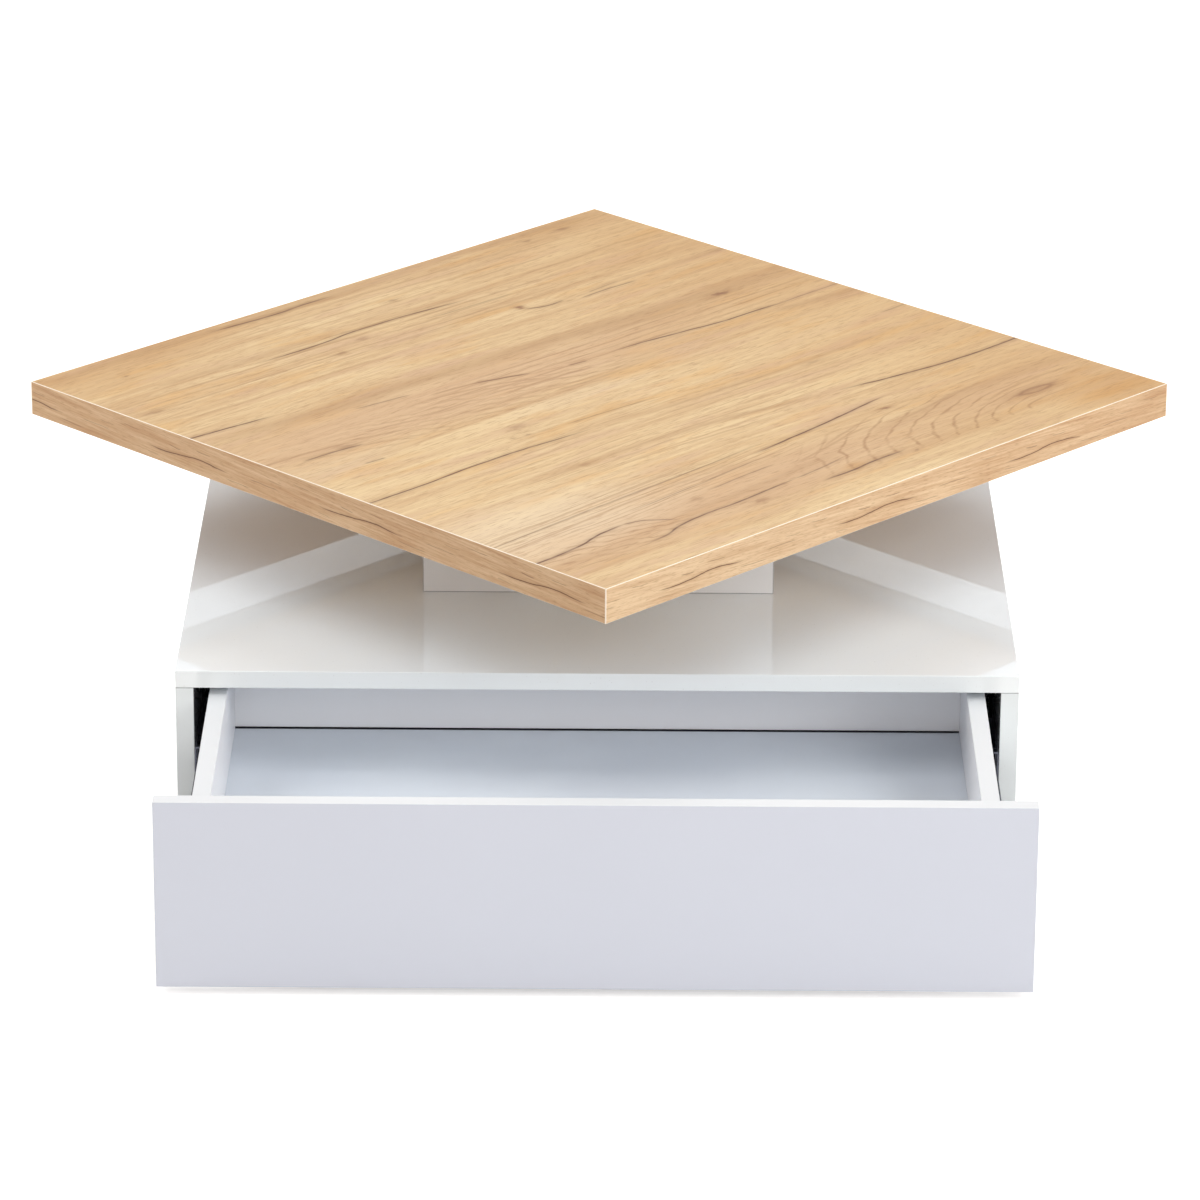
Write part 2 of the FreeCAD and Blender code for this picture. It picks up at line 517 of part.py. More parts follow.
def drawer_member(hand):
    """Channel on the drawer side, its lips turned out in front of the balls."""
    back = SLIDE_THICKNESS
    web = SLIDE_THICKNESS - SLIDE_SHEET
    lip = SLIDE_INNER_RACE + SLIDE_LIP
    inside = SLIDE_INNER_RACE - SLIDE_SHEET
    upper = [(back, SLIDE_INNER_RACE), (SLIDE_LIP_FACE, SLIDE_INNER_RACE), (SLIDE_LIP_FACE, lip),
             (SLIDE_LIP_EDGE, lip), (SLIDE_LIP_EDGE, inside), (web, inside)]
    lower = [(out, -up) for out, up in reversed(upper)]
    return slide_section(upper + lower, hand, (DRAWER_FACE, DRAWER_END))


def make_slide(side, hand):
    """Two members with their screws, and the ball cage in their overlap."""
    add("slide_cabinet_member_" + side, cabinet_member(hand))
    add("slide_drawer_member_" + side, drawer_member(hand))
    cabinet_screw = hand * (BAY_HALF - SLIDE_SHEET)
    drawer_screw = hand * (BAY_HALF - SLIDE_THICKNESS + SLIDE_SHEET)
    span = SLIDE_LENGTH - SLIDE_SCREW_INSET
    for along in spaced(SLIDE_SCREW_INSET, span, SLIDE_SCREW_COUNT):
        drive_screw("slide_cabinet_screws", SLIDE_SCREW,
                    FreeCAD.Vector(cabinet_screw, SLIDE_FRONT + along, SLIDE_LEVEL), X * hand,
                    ["slide_cabinet_member_" + side, "cabinet_side_" + side])
        drive_screw("slide_drawer_screws", SLIDE_SCREW,
                    FreeCAD.Vector(drawer_screw, DRAWER_FACE + along, SLIDE_LEVEL), -X * hand,
                    ["slide_drawer_member_" + side, "drawer_side_" + side])
    make_slide_cage(side, hand)


def make_slide_cage(side, hand):
    """Channel-shaped sheet that spaces an upper and a lower row of balls."""
    front = SLIDE_FRONT + CAGE_STOP
    back = DRAWER_END - CAGE_STOP
    web = SLIDE_SHEET + SLIDE_CAGE_PLAY
    top = SLIDE_BALL_UP + SLIDE_CAGE_SHEET / 2
    tip = SLIDE_HOOK_FACE - SLIDE_CAGE_PLAY
    upper = [(web, top), (tip, top), (tip, top - SLIDE_CAGE_SHEET),
             (web + SLIDE_CAGE_SHEET, top - SLIDE_CAGE_SHEET)]
    lower = [(out, -up) for out, up in reversed(upper)]
    cage = slide_section(upper + lower, hand, (front, back))

    rows = [SLIDE_LEVEL + SLIDE_BALL_UP, SLIDE_LEVEL - SLIDE_BALL_UP]
    count = int((back - front) // SLIDE_BALL_PITCH)
    margin = (back - front - (count - 1) * SLIDE_BALL_PITCH) / 2
    x = hand * (BAY_HALF - SLIDE_BALL_OUT)
    stations = [front + margin + i * SLIDE_BALL_PITCH for i in range(count)]
    centres = [FreeCAD.Vector(x, y, z) for y in stations for z in rows]
    pockets = [Part.makeSphere(SLIDE_BALL_RADIUS + SLIDE_BALL_PLAY, centre) for centre in centres]
    add("slide_cage_" + side, cage.cut(pockets))
    for centre in centres:
        add("slide_balls_" + side, Part.makeSphere(SLIDE_BALL_RADIUS, centre))


# --- The whole table ------------------------------------------------------------------------
def finished(node):
    """The node's solids with every hole cut, as one shape."""
    tools = drillings.get(node, [])
    solids = []
    for solid in pieces[node]:
        solids += solid.cut(tools).Solids if tools else solid.Solids
    return solids[0] if len(solids) == 1 else Part.makeCompound(solids)


def turn_top():
    """Turn the top, the upper ring and their screws from square to the stored pose."""
    for node in list(pieces):
        for shape in pieces[node] + drillings.get(node, []):
            shape.rotate(ORIGIN, Z, TOP_TURN)


def main():
    make_top()
    turn_top()
    make_ring_bearing()
    make_pedestal()
    make_cabinet()
    make_drawer()
    make_slide("left", -1)
    make_slide("right", 1)
    os.makedirs("parts", exist_ok=True)
    for node in pieces:
        finished(node).exportStep("parts/" + node + ".step")


main()
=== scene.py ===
import math

import bmesh
import bpy
from bpy.props import FloatProperty, FloatVectorProperty, PointerProperty
from mathutils import Matrix, Vector


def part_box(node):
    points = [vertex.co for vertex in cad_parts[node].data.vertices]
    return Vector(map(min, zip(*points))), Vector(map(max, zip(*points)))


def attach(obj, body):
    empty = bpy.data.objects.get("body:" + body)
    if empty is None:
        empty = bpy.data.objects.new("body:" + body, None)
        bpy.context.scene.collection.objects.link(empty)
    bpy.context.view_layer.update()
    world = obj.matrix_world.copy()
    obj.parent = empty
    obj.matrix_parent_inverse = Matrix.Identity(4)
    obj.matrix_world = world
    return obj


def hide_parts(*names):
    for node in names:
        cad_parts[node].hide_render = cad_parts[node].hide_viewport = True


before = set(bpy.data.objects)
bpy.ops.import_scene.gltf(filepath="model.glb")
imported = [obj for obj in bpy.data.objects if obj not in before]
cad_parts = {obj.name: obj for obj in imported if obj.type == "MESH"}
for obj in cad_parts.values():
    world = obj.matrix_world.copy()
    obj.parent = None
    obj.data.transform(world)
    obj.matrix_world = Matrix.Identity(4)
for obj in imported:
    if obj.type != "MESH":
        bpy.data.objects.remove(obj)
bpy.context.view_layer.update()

bl_info = {
    "name": "Swivel Coffee Table",
    "version": (1, 0, 0),
    "blender": (4, 5, 0),
    "location": "View3D > Sidebar > Swivel Table",
    "description": "Finishes and fittings of a square swivel-top coffee table with one drawer",
    "category": "Object",
}

# Lengths in patterns are millimetres; Blender's own unit is the metre.
MM = 0.001
PER_METRE = 1000.0
SAME_PLACE = 1e-6               # metres
HALO_WIDTH = 3.2                # of a drawn line, in half widths
LINE_TAPER = (0.30, 0.50)       # where a drawn line's ends fade, as a share of its length off its middle
FRONT, UP = (1, -1), (2, 1)     # ways that a face looks: an axis and its sign
ARRIS = 0.8                     # radius of the foiled boards' edges
BEVEL_SAMPLES = 4
SPANGLE = 4                     # width of the crystals in zinc plating
FOIL_JOINT = (0.5, 0.9)         # from a board's edge to where its dark joint is full, and gone
GLOSS = {"IOR": 1.5, "Coat_Weight": 1.0, "Coat_Roughness": 0.01}
FLOOR_HALF = 40.0               # metres, as are the next two
LAMP_REACH = (1.5, 5.0)         # where the lamps' light on the floor begins to fail, and has failed
AIM = (0, 0, 0.2)               # of the softboxes
HORIZON, WALL_TOP = (11, 15), (28, 38)  # degrees up, over which the room's tones change


def linear(hex_colour):
    """Linear RGBA of an sRGB hex colour."""
    channels = [int(hex_colour[i:i + 2], 16) / 255 for i in (1, 3, 5)]
    return [c / 12.92 if c <= 0.04045 else ((c + 0.055) / 1.055) ** 2.4 for c in channels] + [1.0]


def corner_of(node):
    """The node's corner that lies furthest right."""
    return max((vertex.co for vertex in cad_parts[node].data.vertices), key=lambda point: point.x)


# --- Sizes read from the frame ---
BAND_CORNER = corner_of("edge_band_front_right").to_2d()
TOP_HALF = BAND_CORNER.length / math.sqrt(2) * PER_METRE
TOP_TURN = math.atan2(BAND_CORNER.y, BAND_CORNER.x) + math.pi / 4
RIM_UNDERSIDE, TOP_SURFACE = (corner.z * PER_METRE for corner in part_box("edge_band_front_right"))

# --- The oak print, in millimetres on the square top ---
# Each line: half width, darkness, then its points (along the grain, across it).
CRACKS = [
    (2.2, 0.90, [(-155, 337.5), (-115, 336), (-70, 333.5), (-30, 336), (2, 333.5)]),
    (2.0, 0.96, [(-188, 246.5), (-125, 245), (-90, 246.5), (-50, 250), (-10, 249), (30, 246.5), (84, 242)]),
    (2.2, 1.00, [(-385, 147), (-350, 144.5), (-310, 141), (-255, 136)]),
    (2.0, 0.96, [(58, 51.5), (100, 48.5), (155, 43), (200, 38), (240, 38), (290, 34)]),
    (1.7, 0.54, [(262, 36), (300, 37), (350, 38.5), (380, 39)]),
    (2.0, 1.00, [(-390, -75.5), (-305, -76.5), (-255, -74.5), (-215, -73), (-180, -73), (-135, -75.5),
                 (-82, -79)]),
    (2.2, 1.00, [(125, -158.5), (160, -164), (205, -171), (250, -176), (300, -178), (350, -176.5),
                 (390, -175)]),
    (2.0, 1.00, [(-45, -219), (0, -215), (45, -210.5), (85, -205.5), (125, -200.5), (160, -197)]),
    (2.2, 1.00, [(-385, -272), (-350, -271), (-300, -268.5), (-275, -262.5), (-255, -259), (-225, -258)]),
    (1.9, 0.72, [(-240, -258.5), (-222, -261), (-208, -270), (-192, -284)]),
    (2.0, 0.90, [(-262, -303), (-230, -300), (-205, -292.5), (-175, -289), (-135, -288.5), (-90, -286),
                 (-45, -283)]),
    (1.7, 0.54, [(-60, -284), (-20, -281), (15, -275)]),
    (2.2, 0.96, [(-48, -303.5), (-10, -304), (30, -301), (66, -302)]),
    (1.7, 0.72, [(150, 172.5), (180, 174), (229, 173)]),
    (1.5, 0.42, [(166, 179), (190, 182), (214, 184)]),
    (2.0, 0.78, [(91, 196), (99, 185), (118, 179.5), (140, 181)]),
    (1.9, 0.72, [(-84, 76), (-50, 67.5), (-22, 59)]),
    (1.7, 0.60, [(-202, 100), (-170, 96.5), (-137, 93)]),
    (2.2, 0.78, [(-324, 35), (-285, 34), (-250, 29.5)]),
    (1.7, 0.66, [(-288, -5), (-262, -6)]),
    (1.9, 0.66, [(12, 51.5), (35, 48)]),
    (1.7, 0.42, [(12, 230), (50, 227.5), (130, 226.5)]),
    (1.7, 0.48, [(-104, -54.5), (-50, -57.5), (6, -60.5)]),
    (1.7, 0.48, [(311, -45.5), (350, -44), (370, -43)]),
    (1.7, 0.54, [(-390, -225), (-300, -219), (-180, -213), (-60, -208), (10, -204)]),
    (1.5, 0.48, [(-215, -241), (-150, -238), (-70, -232), (-30, -229)]),
    (1.7, 0.54, [(-130, -253), (-95, -249.5), (-40, -247)]),
]
# Broad soft darker bands, in the same form.
SMEARS = [
    (17, 0.55, [(-420, 128), (-250, 118), (-80, 112), (80, 108), (200, 101), (420, 92)]),
    (9, 0.55, [(50, 97), (150, 93), (250, 92), (330, 96), (400, 97)]),
    (8, 0.45, [(-300, 262), (-220, 259), (-120, 258), (-40, 263)]),
    (7, 0.55, [(-240, -131), (-120, -134), (-20, -139), (60, -148), (150, -161)]),
    (11, 0.45, [(-420, 340), (-200, 338), (0, 336), (180, 342), (420, 334)]),
    (6, 0.40, [(-130, -76), (-40, -80), (60, -84), (180, -86), (320, -84)]),
    (8, 0.35, [(150, 176), (210, 184), (300, 180), (390, 184)]),
    (14, 0.35, [(40, -268), (140, -246), (240, -240), (390, -246)]),
    (10, 0.40, [(-420, -285), (-300, -290), (-200, -281), (-60, -272), (60, -262)]),
    (9, 0.45, [(240, 22), (310, 16), (390, 10)]),
]
# Soft strokes of the figure, in the same form.
STROKES = [
    (3.0, 0.50, [(-130, 80), (-95, 77), (-70, 73), (-48, 67), (-20, 58)]),
    (3.0, 0.40, [(-140, 73), (-110, 69), (-88, 65), (-58, 57), (-30, 45), (-8, 39)]),
    (3.0, 0.32, [(-125, 63), (-95, 59), (-60, 50), (-22, 36)]),
    (3.2, 0.50, [(-85, 33), (-50, 38), (-28, 37), (0, 36), (34, 28)]),
    (2.8, 0.40, [(-178, 47), (-140, 45), (-104, 47)]),
    (2.8, 0.45, [(-236, 51), (-210, 48), (-182, 45)]),
    (2.8, 0.42, [(-264, 48), (-235, 40), (-196, 30)]),
    (3.2, 0.48, [(-380, 50), (-310, 48), (-270, 44), (-246, 37)]),
    (3.0, 0.34, [(-262, 29), (-235, 22), (-208, 8)]),
    (3.6, 0.34, [(-50, 12), (0, 10), (50, 10)]),
    (3.0, 0.40, [(-40, -262), (20, -250), (55, -243), (95, -238)]),
    (2.8, 0.36, [(12, -250), (40, -241), (62, -235), (92, -228)]),
    (2.8, 0.34, [(96, -250), (150, -244), (200, -236), (260, -233)]),
    (3.2, 0.36, [(196, -276), (230, -263), (280, -258), (340, -262)]),
    (2.6, 0.34, [(-120, 20), (-60, 24), (-20, 18), (30, 14)]),
    (2.8, 0.40, [(-390, -240), (-300, -234), (-200, -226), (-110, -222)]),
    (2.8, 0.36, [(-390, -212), (-300, -210), (-180, -204), (-80, -200)]),
    (2.6, 0.40, [(-186, -160), (-120, -158), (-20, -163), (60, -166)]),
    (2.8, 0.34, [(-100, 206), (0, 203), (90, 205), (170, 200)]),
    (2.8, 0.34, [(-350, 186), (-240, 180), (-140, 182), (-60, 178)]),
    (3.0, 0.36, [(140, 262), (220, 258), (300, 262), (370, 258)]),
]
# Riper patches: centre along and across the grain, reach along and across it, share.
RIPE_PATCHES = [
    (-210, 336, 190, 18, 0.40), (325, -325, 110, 50, 0.85), (-300, 320, 150, 60, 0.28),
    (320, -272, 40, 8, 0.60), (316, -301, 52, 12, 0.75), (238, -304, 34, 7, 0.45),
    (3, -298, 16, 8, 0.60), (258, -217, 26, 8, 0.40), (290, 338, 80, 14, 0.55),
    (-338, 338, 34, 14, 0.60), (338, 18, 32, 12, 0.60), (342, 110, 26, 44, 0.40),
    (345, -60, 18, 40, 0.35), (345, -240, 16, 34, 0.40), (-150, -135, 20, 6, 0.30),
]
# Pinkish patches, in the same form.
BLUSH_PATCHES = [(-120, 62, 420, 62, 0.62), (-150, -268, 380, 60, 0.60), (230, -262, 130, 46, 0.40)]
# Paler patches, in the same form.
PALE_PATCHES = [(-290, -215, 200, 80, 0.55), (-180, -225, 110, 26, 0.25), (-320, 10, 110, 24, 0.22),
                (-40, -10, 120, 20, 0.18)]
# Knots: centre along and across the grain, reach along and across it, darkness.
KNOTS = [
    (26, 288.5, 9, 4.5, 0.41), (-67, 231, 13, 5.5, 0.38), (93.5, 193, 5, 6, 0.80), (252.5, 93, 17, 4.5, 1.00),
    (-132, -31, 13, 8, 0.34), (-154, -48, 4, 3, 0.38), (-139, -51, 4, 2.5, 0.38), (129, -219.5, 8, 3, 0.85),
    (-115, -300, 13, 7, 0.41), (-282, 302, 3.5, 2, 0.45), (69, -308.5, 4, 3, 0.45), (235, 325, 8, 4, 0.41),
    (285, 327, 12, 5, 0.49), (340, 183, 9, 6, 0.22), (172, -93.5, 17, 4, 0.30), (-150, -260, 10, 6, 0.30),
    (-157, -136, 12, 5, 0.26), (-330, 215, 20, 5, 0.34), (-108, 214, 10, 4, 0.38), (-272, 36, 24, 6, 0.30),
]
EYE = (257, -279)               # the long knot beside the arched figure
EYE_REACH = (24, 5.5)
ARCH_CENTRE = (256, -312)       # of the arched figure, which stops at the seam between two planks
ARCH_STRETCH = (2.35, 1.0)
ARCH_SEAM = -309
# Figure lines: the field they follow, spacing, thickness, centre and reach of their zone, strength.
FIGURE = [
    ("rows", 5.6, 0.20, (-190, -222), (260, 38), 0.52), ("slant", 9.5, 0.24, (-120, 34), (240, 46), 0.34),
    ("arches", 10.5, 0.14, (130, -276), (200, 66), 0.60), ("slant", 9.0, 0.22, (-270, -285), (110, 30), 0.50),
    ("across", 11.0, 0.20, (100, 66), (330, 30), 0.50), ("across", 13.0, 0.18, (-60, 228), (330, 40), 0.42),
    ("across", 10.0, 0.18, (-40, -120), (330, 60), 0.36), ("across", 12.0, 0.18, (60, 300), (330, 40), 0.36),
]
# Noise fields: length and width of their patches, detail, seed.
WANDER, RIPPLE = (260, 70, 1.0, 3.1), (46, 16, 2.0, 8.4)
CLOUDS, BANDS = (150, 22, 3.0, 1.7), (220, 7, 3.0, 5.2)
FIBRES, PORES = (90, 2.8, 3.0, 9.9), (15, 1.1, 2.0, 4.3)
FLUSHES, BLUSHES = (110, 18, 3.0, 12.5), (140, 22, 3.0, 15.8)
FADING, RAGS, WEAR = (70, 6, 2.0, 6.6), (11, 4, 3.0, 21.4), (14, 3, 2.0, 2.2)
ROW_SLOPE, SLANT_SLOPE = -0.055, 0.26
CRACK_HALO = 0.22               # darkness beside a crack, as a share of its own
# Tone across the top, 0 dark to 1 light: the planks that the print is made up of.
PLANK_TONES = [(-350, 0.76), (-318, 0.66), (-310, 0.44), (-250, 0.52), (-205, 0.60), (-175, 0.76), (-120, 0.74),
               (-85, 0.64), (-40, 0.82), (-4, 0.76), (3, 0.54), (60, 0.54), (112, 0.50), (142, 0.66),
               (175, 0.66), (238, 0.56), (282, 0.70), (320, 0.50), (350, 0.36)]

# --- The edge strip's print, repeated round its printing roller ---
ROLLER = 212.5
STRIP_SLOPE = -0.05
STRIP_CLOUDS, STRIP_FIBRES = (70, 7, 2.0, 2.8), (46, 1.5, 3.0, 7.3)
STRIP_PORES, STRIP_WANDER = (9, 0.7, 2.0, 5.9), (14, 8, 2.0, 3.3)
STRIP_CRACKS = [                # as above: along the strip, height below the top
    (0.75, 1.00, [(-3, 17.2), (8, 18.6), (18, 19.0), (35, 18.4), (50, 17.2), (66, 16.2), (78, 16.9), (90, 18.2),
                  (104, 18.9)]),
    (0.60, 0.65, [(26, 11.4), (34, 12.6), (43, 13.0)]),
    (0.55, 0.50, [(126, 17.4), (144, 17.2), (166, 18.2)]),
    (0.55, 0.50, [(60, 8.6), (70, 9.4), (80, 9.6)]),
    (0.50, 0.45, [(180, 7.0), (192, 8.0), (203, 8.2)]),
    (0.55, 0.50, [(96, 23.4), (112, 24.6), (130, 25.0)]),
    (0.50, 0.40, [(-6, 24.0), (6, 24.4), (16, 25.6)]),
    (0.45, 0.40, [(150, 11.6), (158, 12.4), (170, 12.6)]),
]


# --- Shader tools ---
def add_node(tree, kind, inputs=None, **settings):
    """Add a node: its settings, then its inputs by place or name, each a constant or a socket.

    Gives back its first live output."""
    made = tree.nodes.new("ShaderNode" + kind)
    for name, value in settings.items():
        setattr(made, name, value)
    for place, value in (inputs or {}).items():
        if isinstance(value, bpy.types.NodeSocket):
            tree.links.new(value, made.inputs[place])
        else:
            made.inputs[place].default_value = value
    return next(output for output in made.outputs if output.enabled)


def calc(tree, operation, *values):
    """Math node on up to three values."""
    return add_node(tree, "Math", dict(enumerate(values)), operation=operation)


def product(tree, first, second):
    return calc(tree, "MULTIPLY", first, second)


def strongest(tree, total, mask):
    """The larger of two masks, or the second where there is no first."""
    return mask if total is None else calc(tree, "MAXIMUM", total, mask)


def axes(tree, vector):
    """X, Y and Z of a vector."""
    return list(add_node(tree, "SeparateXYZ", {0: vector}).node.outputs)


def new_material(name, **sockets):
    """Material with one Principled shader; the sockets are constants set on it."""
    material = bpy.data.materials.new(name)
    material.use_nodes = True
    tree = material.node_tree
    for socket, value in sockets.items():
        tree.nodes["Principled BSDF"].inputs[socket.replace("_", " ")].default_value = value
    return material, tree


def feed(material, **sockets):
    """Link sockets into the material's shader, and give the material back."""
    tree = material.node_tree
    for socket, value in sockets.items():
        tree.links.new(value, tree.nodes["Principled BSDF"].inputs[socket.replace("_", " ")])
    return material


def coordinates(tree, kind):
    return add_node(tree, "TexCoord").node.outputs[kind]


def millimetres(tree, turn=0.0):
    """Object coordinates in millimetres, turned back by an angle about the swivel axis."""
    return add_node(tree, "Mapping", {"Vector": coordinates(tree, "Object"), "Rotation": (0, 0, -turn),
                                      "Scale": (PER_METRE,) * 3})


def mottle(tree, place, size, detail, roughness=0.5):
    """Noise in patches about as wide as the size."""
    return add_node(tree, "TexNoise", {"Vector": place, "Scale": 1 / size, "Detail": detail,
                                       "Roughness": roughness})


def streaks(tree, along, across, length, width, detail, seed):
    """Noise drawn out along the grain, in patches about length by width millimetres."""
    u = calc(tree, "MULTIPLY_ADD", along, 1 / length, seed)
    v = calc(tree, "MULTIPLY_ADD", across, 1 / width, seed)
    return mottle(tree, add_node(tree, "CombineXYZ", {0: u, 1: v, 2: seed}), 1.0, detail)


def shifted(tree, value, noise, amount):
    """The value moved by noise, up to about half the amount either way."""
    return calc(tree, "MULTIPLY_ADD", calc(tree, "SUBTRACT", noise, 0.5), amount, value)


def step(tree, value, start, end, low=0.0, high=1.0, shape="SMOOTHSTEP"):
    """Change from low to high, smooth or linear, as the value goes from start to end."""
    return add_node(tree, "MapRange", {"Value": value, "From Min": start, "From Max": end,
                                       "To Min": low, "To Max": high}, interpolation_type=shape)


def sheen(tree, noise, low, high):
    """Roughness that goes from low to high with a noise."""
    return step(tree, noise, 0.3, 0.7, low, high)


def tinted(tree, colour, other, share):
    """The colour mixed towards another by a share."""
    return add_node(tree, "MixRGB", {"Fac": share, "Color1": colour, "Color2": other})


def curve(tree, value, points):
    """Smooth curve through points, the first of which lies at 0 and the last at 1."""
    route = add_node(tree, "FloatCurve", {"Value": value})
    line = route.node.mapping.curves[0]
    for spot, height in points[1:-1]:
        line.points.new(spot, height)
    line.points[0].location = (0, points[0][1])
    line.points[len(points) - 1].location = (1, points[-1][1])
    route.node.mapping.update()
    return route


def printed_line(tree, along, across, half_width, darkness, points, halo):
    """One drawn line along its points: full at its middle, fading to its sides and ends, in a soft
    halo whose darkness is a share of the line's."""
    start, end = points[0][0], points[-1][0]
    low = min(point[1] for point in points) - 1
    high = max(point[1] for point in points) + 1
    share = step(tree, along, start, end, shape="LINEAR")
    route = curve(tree, share, [((u - start) / (end - start), (v - low) / (high - low)) for u, v in points])
    middle = calc(tree, "MULTIPLY_ADD", route, high - low, low)
    gap = calc(tree, "ABSOLUTE", calc(tree, "SUBTRACT", across, middle))
    body = step(tree, gap, 0.0, half_width, darkness, 0.0)
    if halo:
        glow = step(tree, gap, 0.0, HALO_WIDTH * half_width, halo * darkness, 0.0)
        body = strongest(tree, body, glow)
    ends = calc(tree, "ABSOLUTE", calc(tree, "SUBTRACT", share, 0.5))
    return product(tree, body, step(tree, ends, *LINE_TAPER, 1.0, 0.0))


def printed_lines(tree, along, across, lines, halo=0.0):
    """The darkest of several drawn lines at each point."""
    total = None
    for half_width, darkness, points in lines:
        total = strongest(tree, total, printed_line(tree, along, across, half_width, darkness, points, halo))
    return total


def from_spot(tree, along, across, centre, reach):
    """Distance from a centre, counted in reaches along and across the grain."""
    u, v = (calc(tree, "MULTIPLY_ADD", field, 1 / far, -middle / far)
            for field, middle, far in zip((along, across), centre, reach))
    return calc(tree, "SQRT", calc(tree, "MULTIPLY_ADD", v, v, product(tree, u, u)))


def patches(tree, along, across, rows, full, gone, total=None):
    """The strongest of oval patches, over a mask if there is one. A patch has its share out to
    so many reaches from its centre, and is gone at so many."""
    for u, v, reach_u, reach_v, share in rows:
        spot = from_spot(tree, along, across, (u, v), (reach_u, reach_v))
        total = strongest(tree, total, step(tree, spot, full, gone, share, 0.0))
    return total


def grain_lines(tree, field, spacing, thickness):
    """Thin lines wherever the field passes a multiple of the spacing."""
    fold = calc(tree, "PINGPONG", calc(tree, "DIVIDE", field, spacing), 0.5)
    return step(tree, fold, 0.5 - thickness, 0.5)


def arris(tree, radius):
    """Normal that rounds the board's edges by a radius in millimetres."""
    return add_node(tree, "Bevel", {"Radius": radius * MM}, samples=BEVEL_SAMPLES)


def relief(tree, height, strength, depth, normal=None):
    """Bump of a given depth in millimetres, on another normal if there is one."""
    inputs = {"Strength": strength, "Distance": depth * MM, "Height": height}
    if normal is not None:
        inputs["Normal"] = normal
    return add_node(tree, "Bump", inputs)


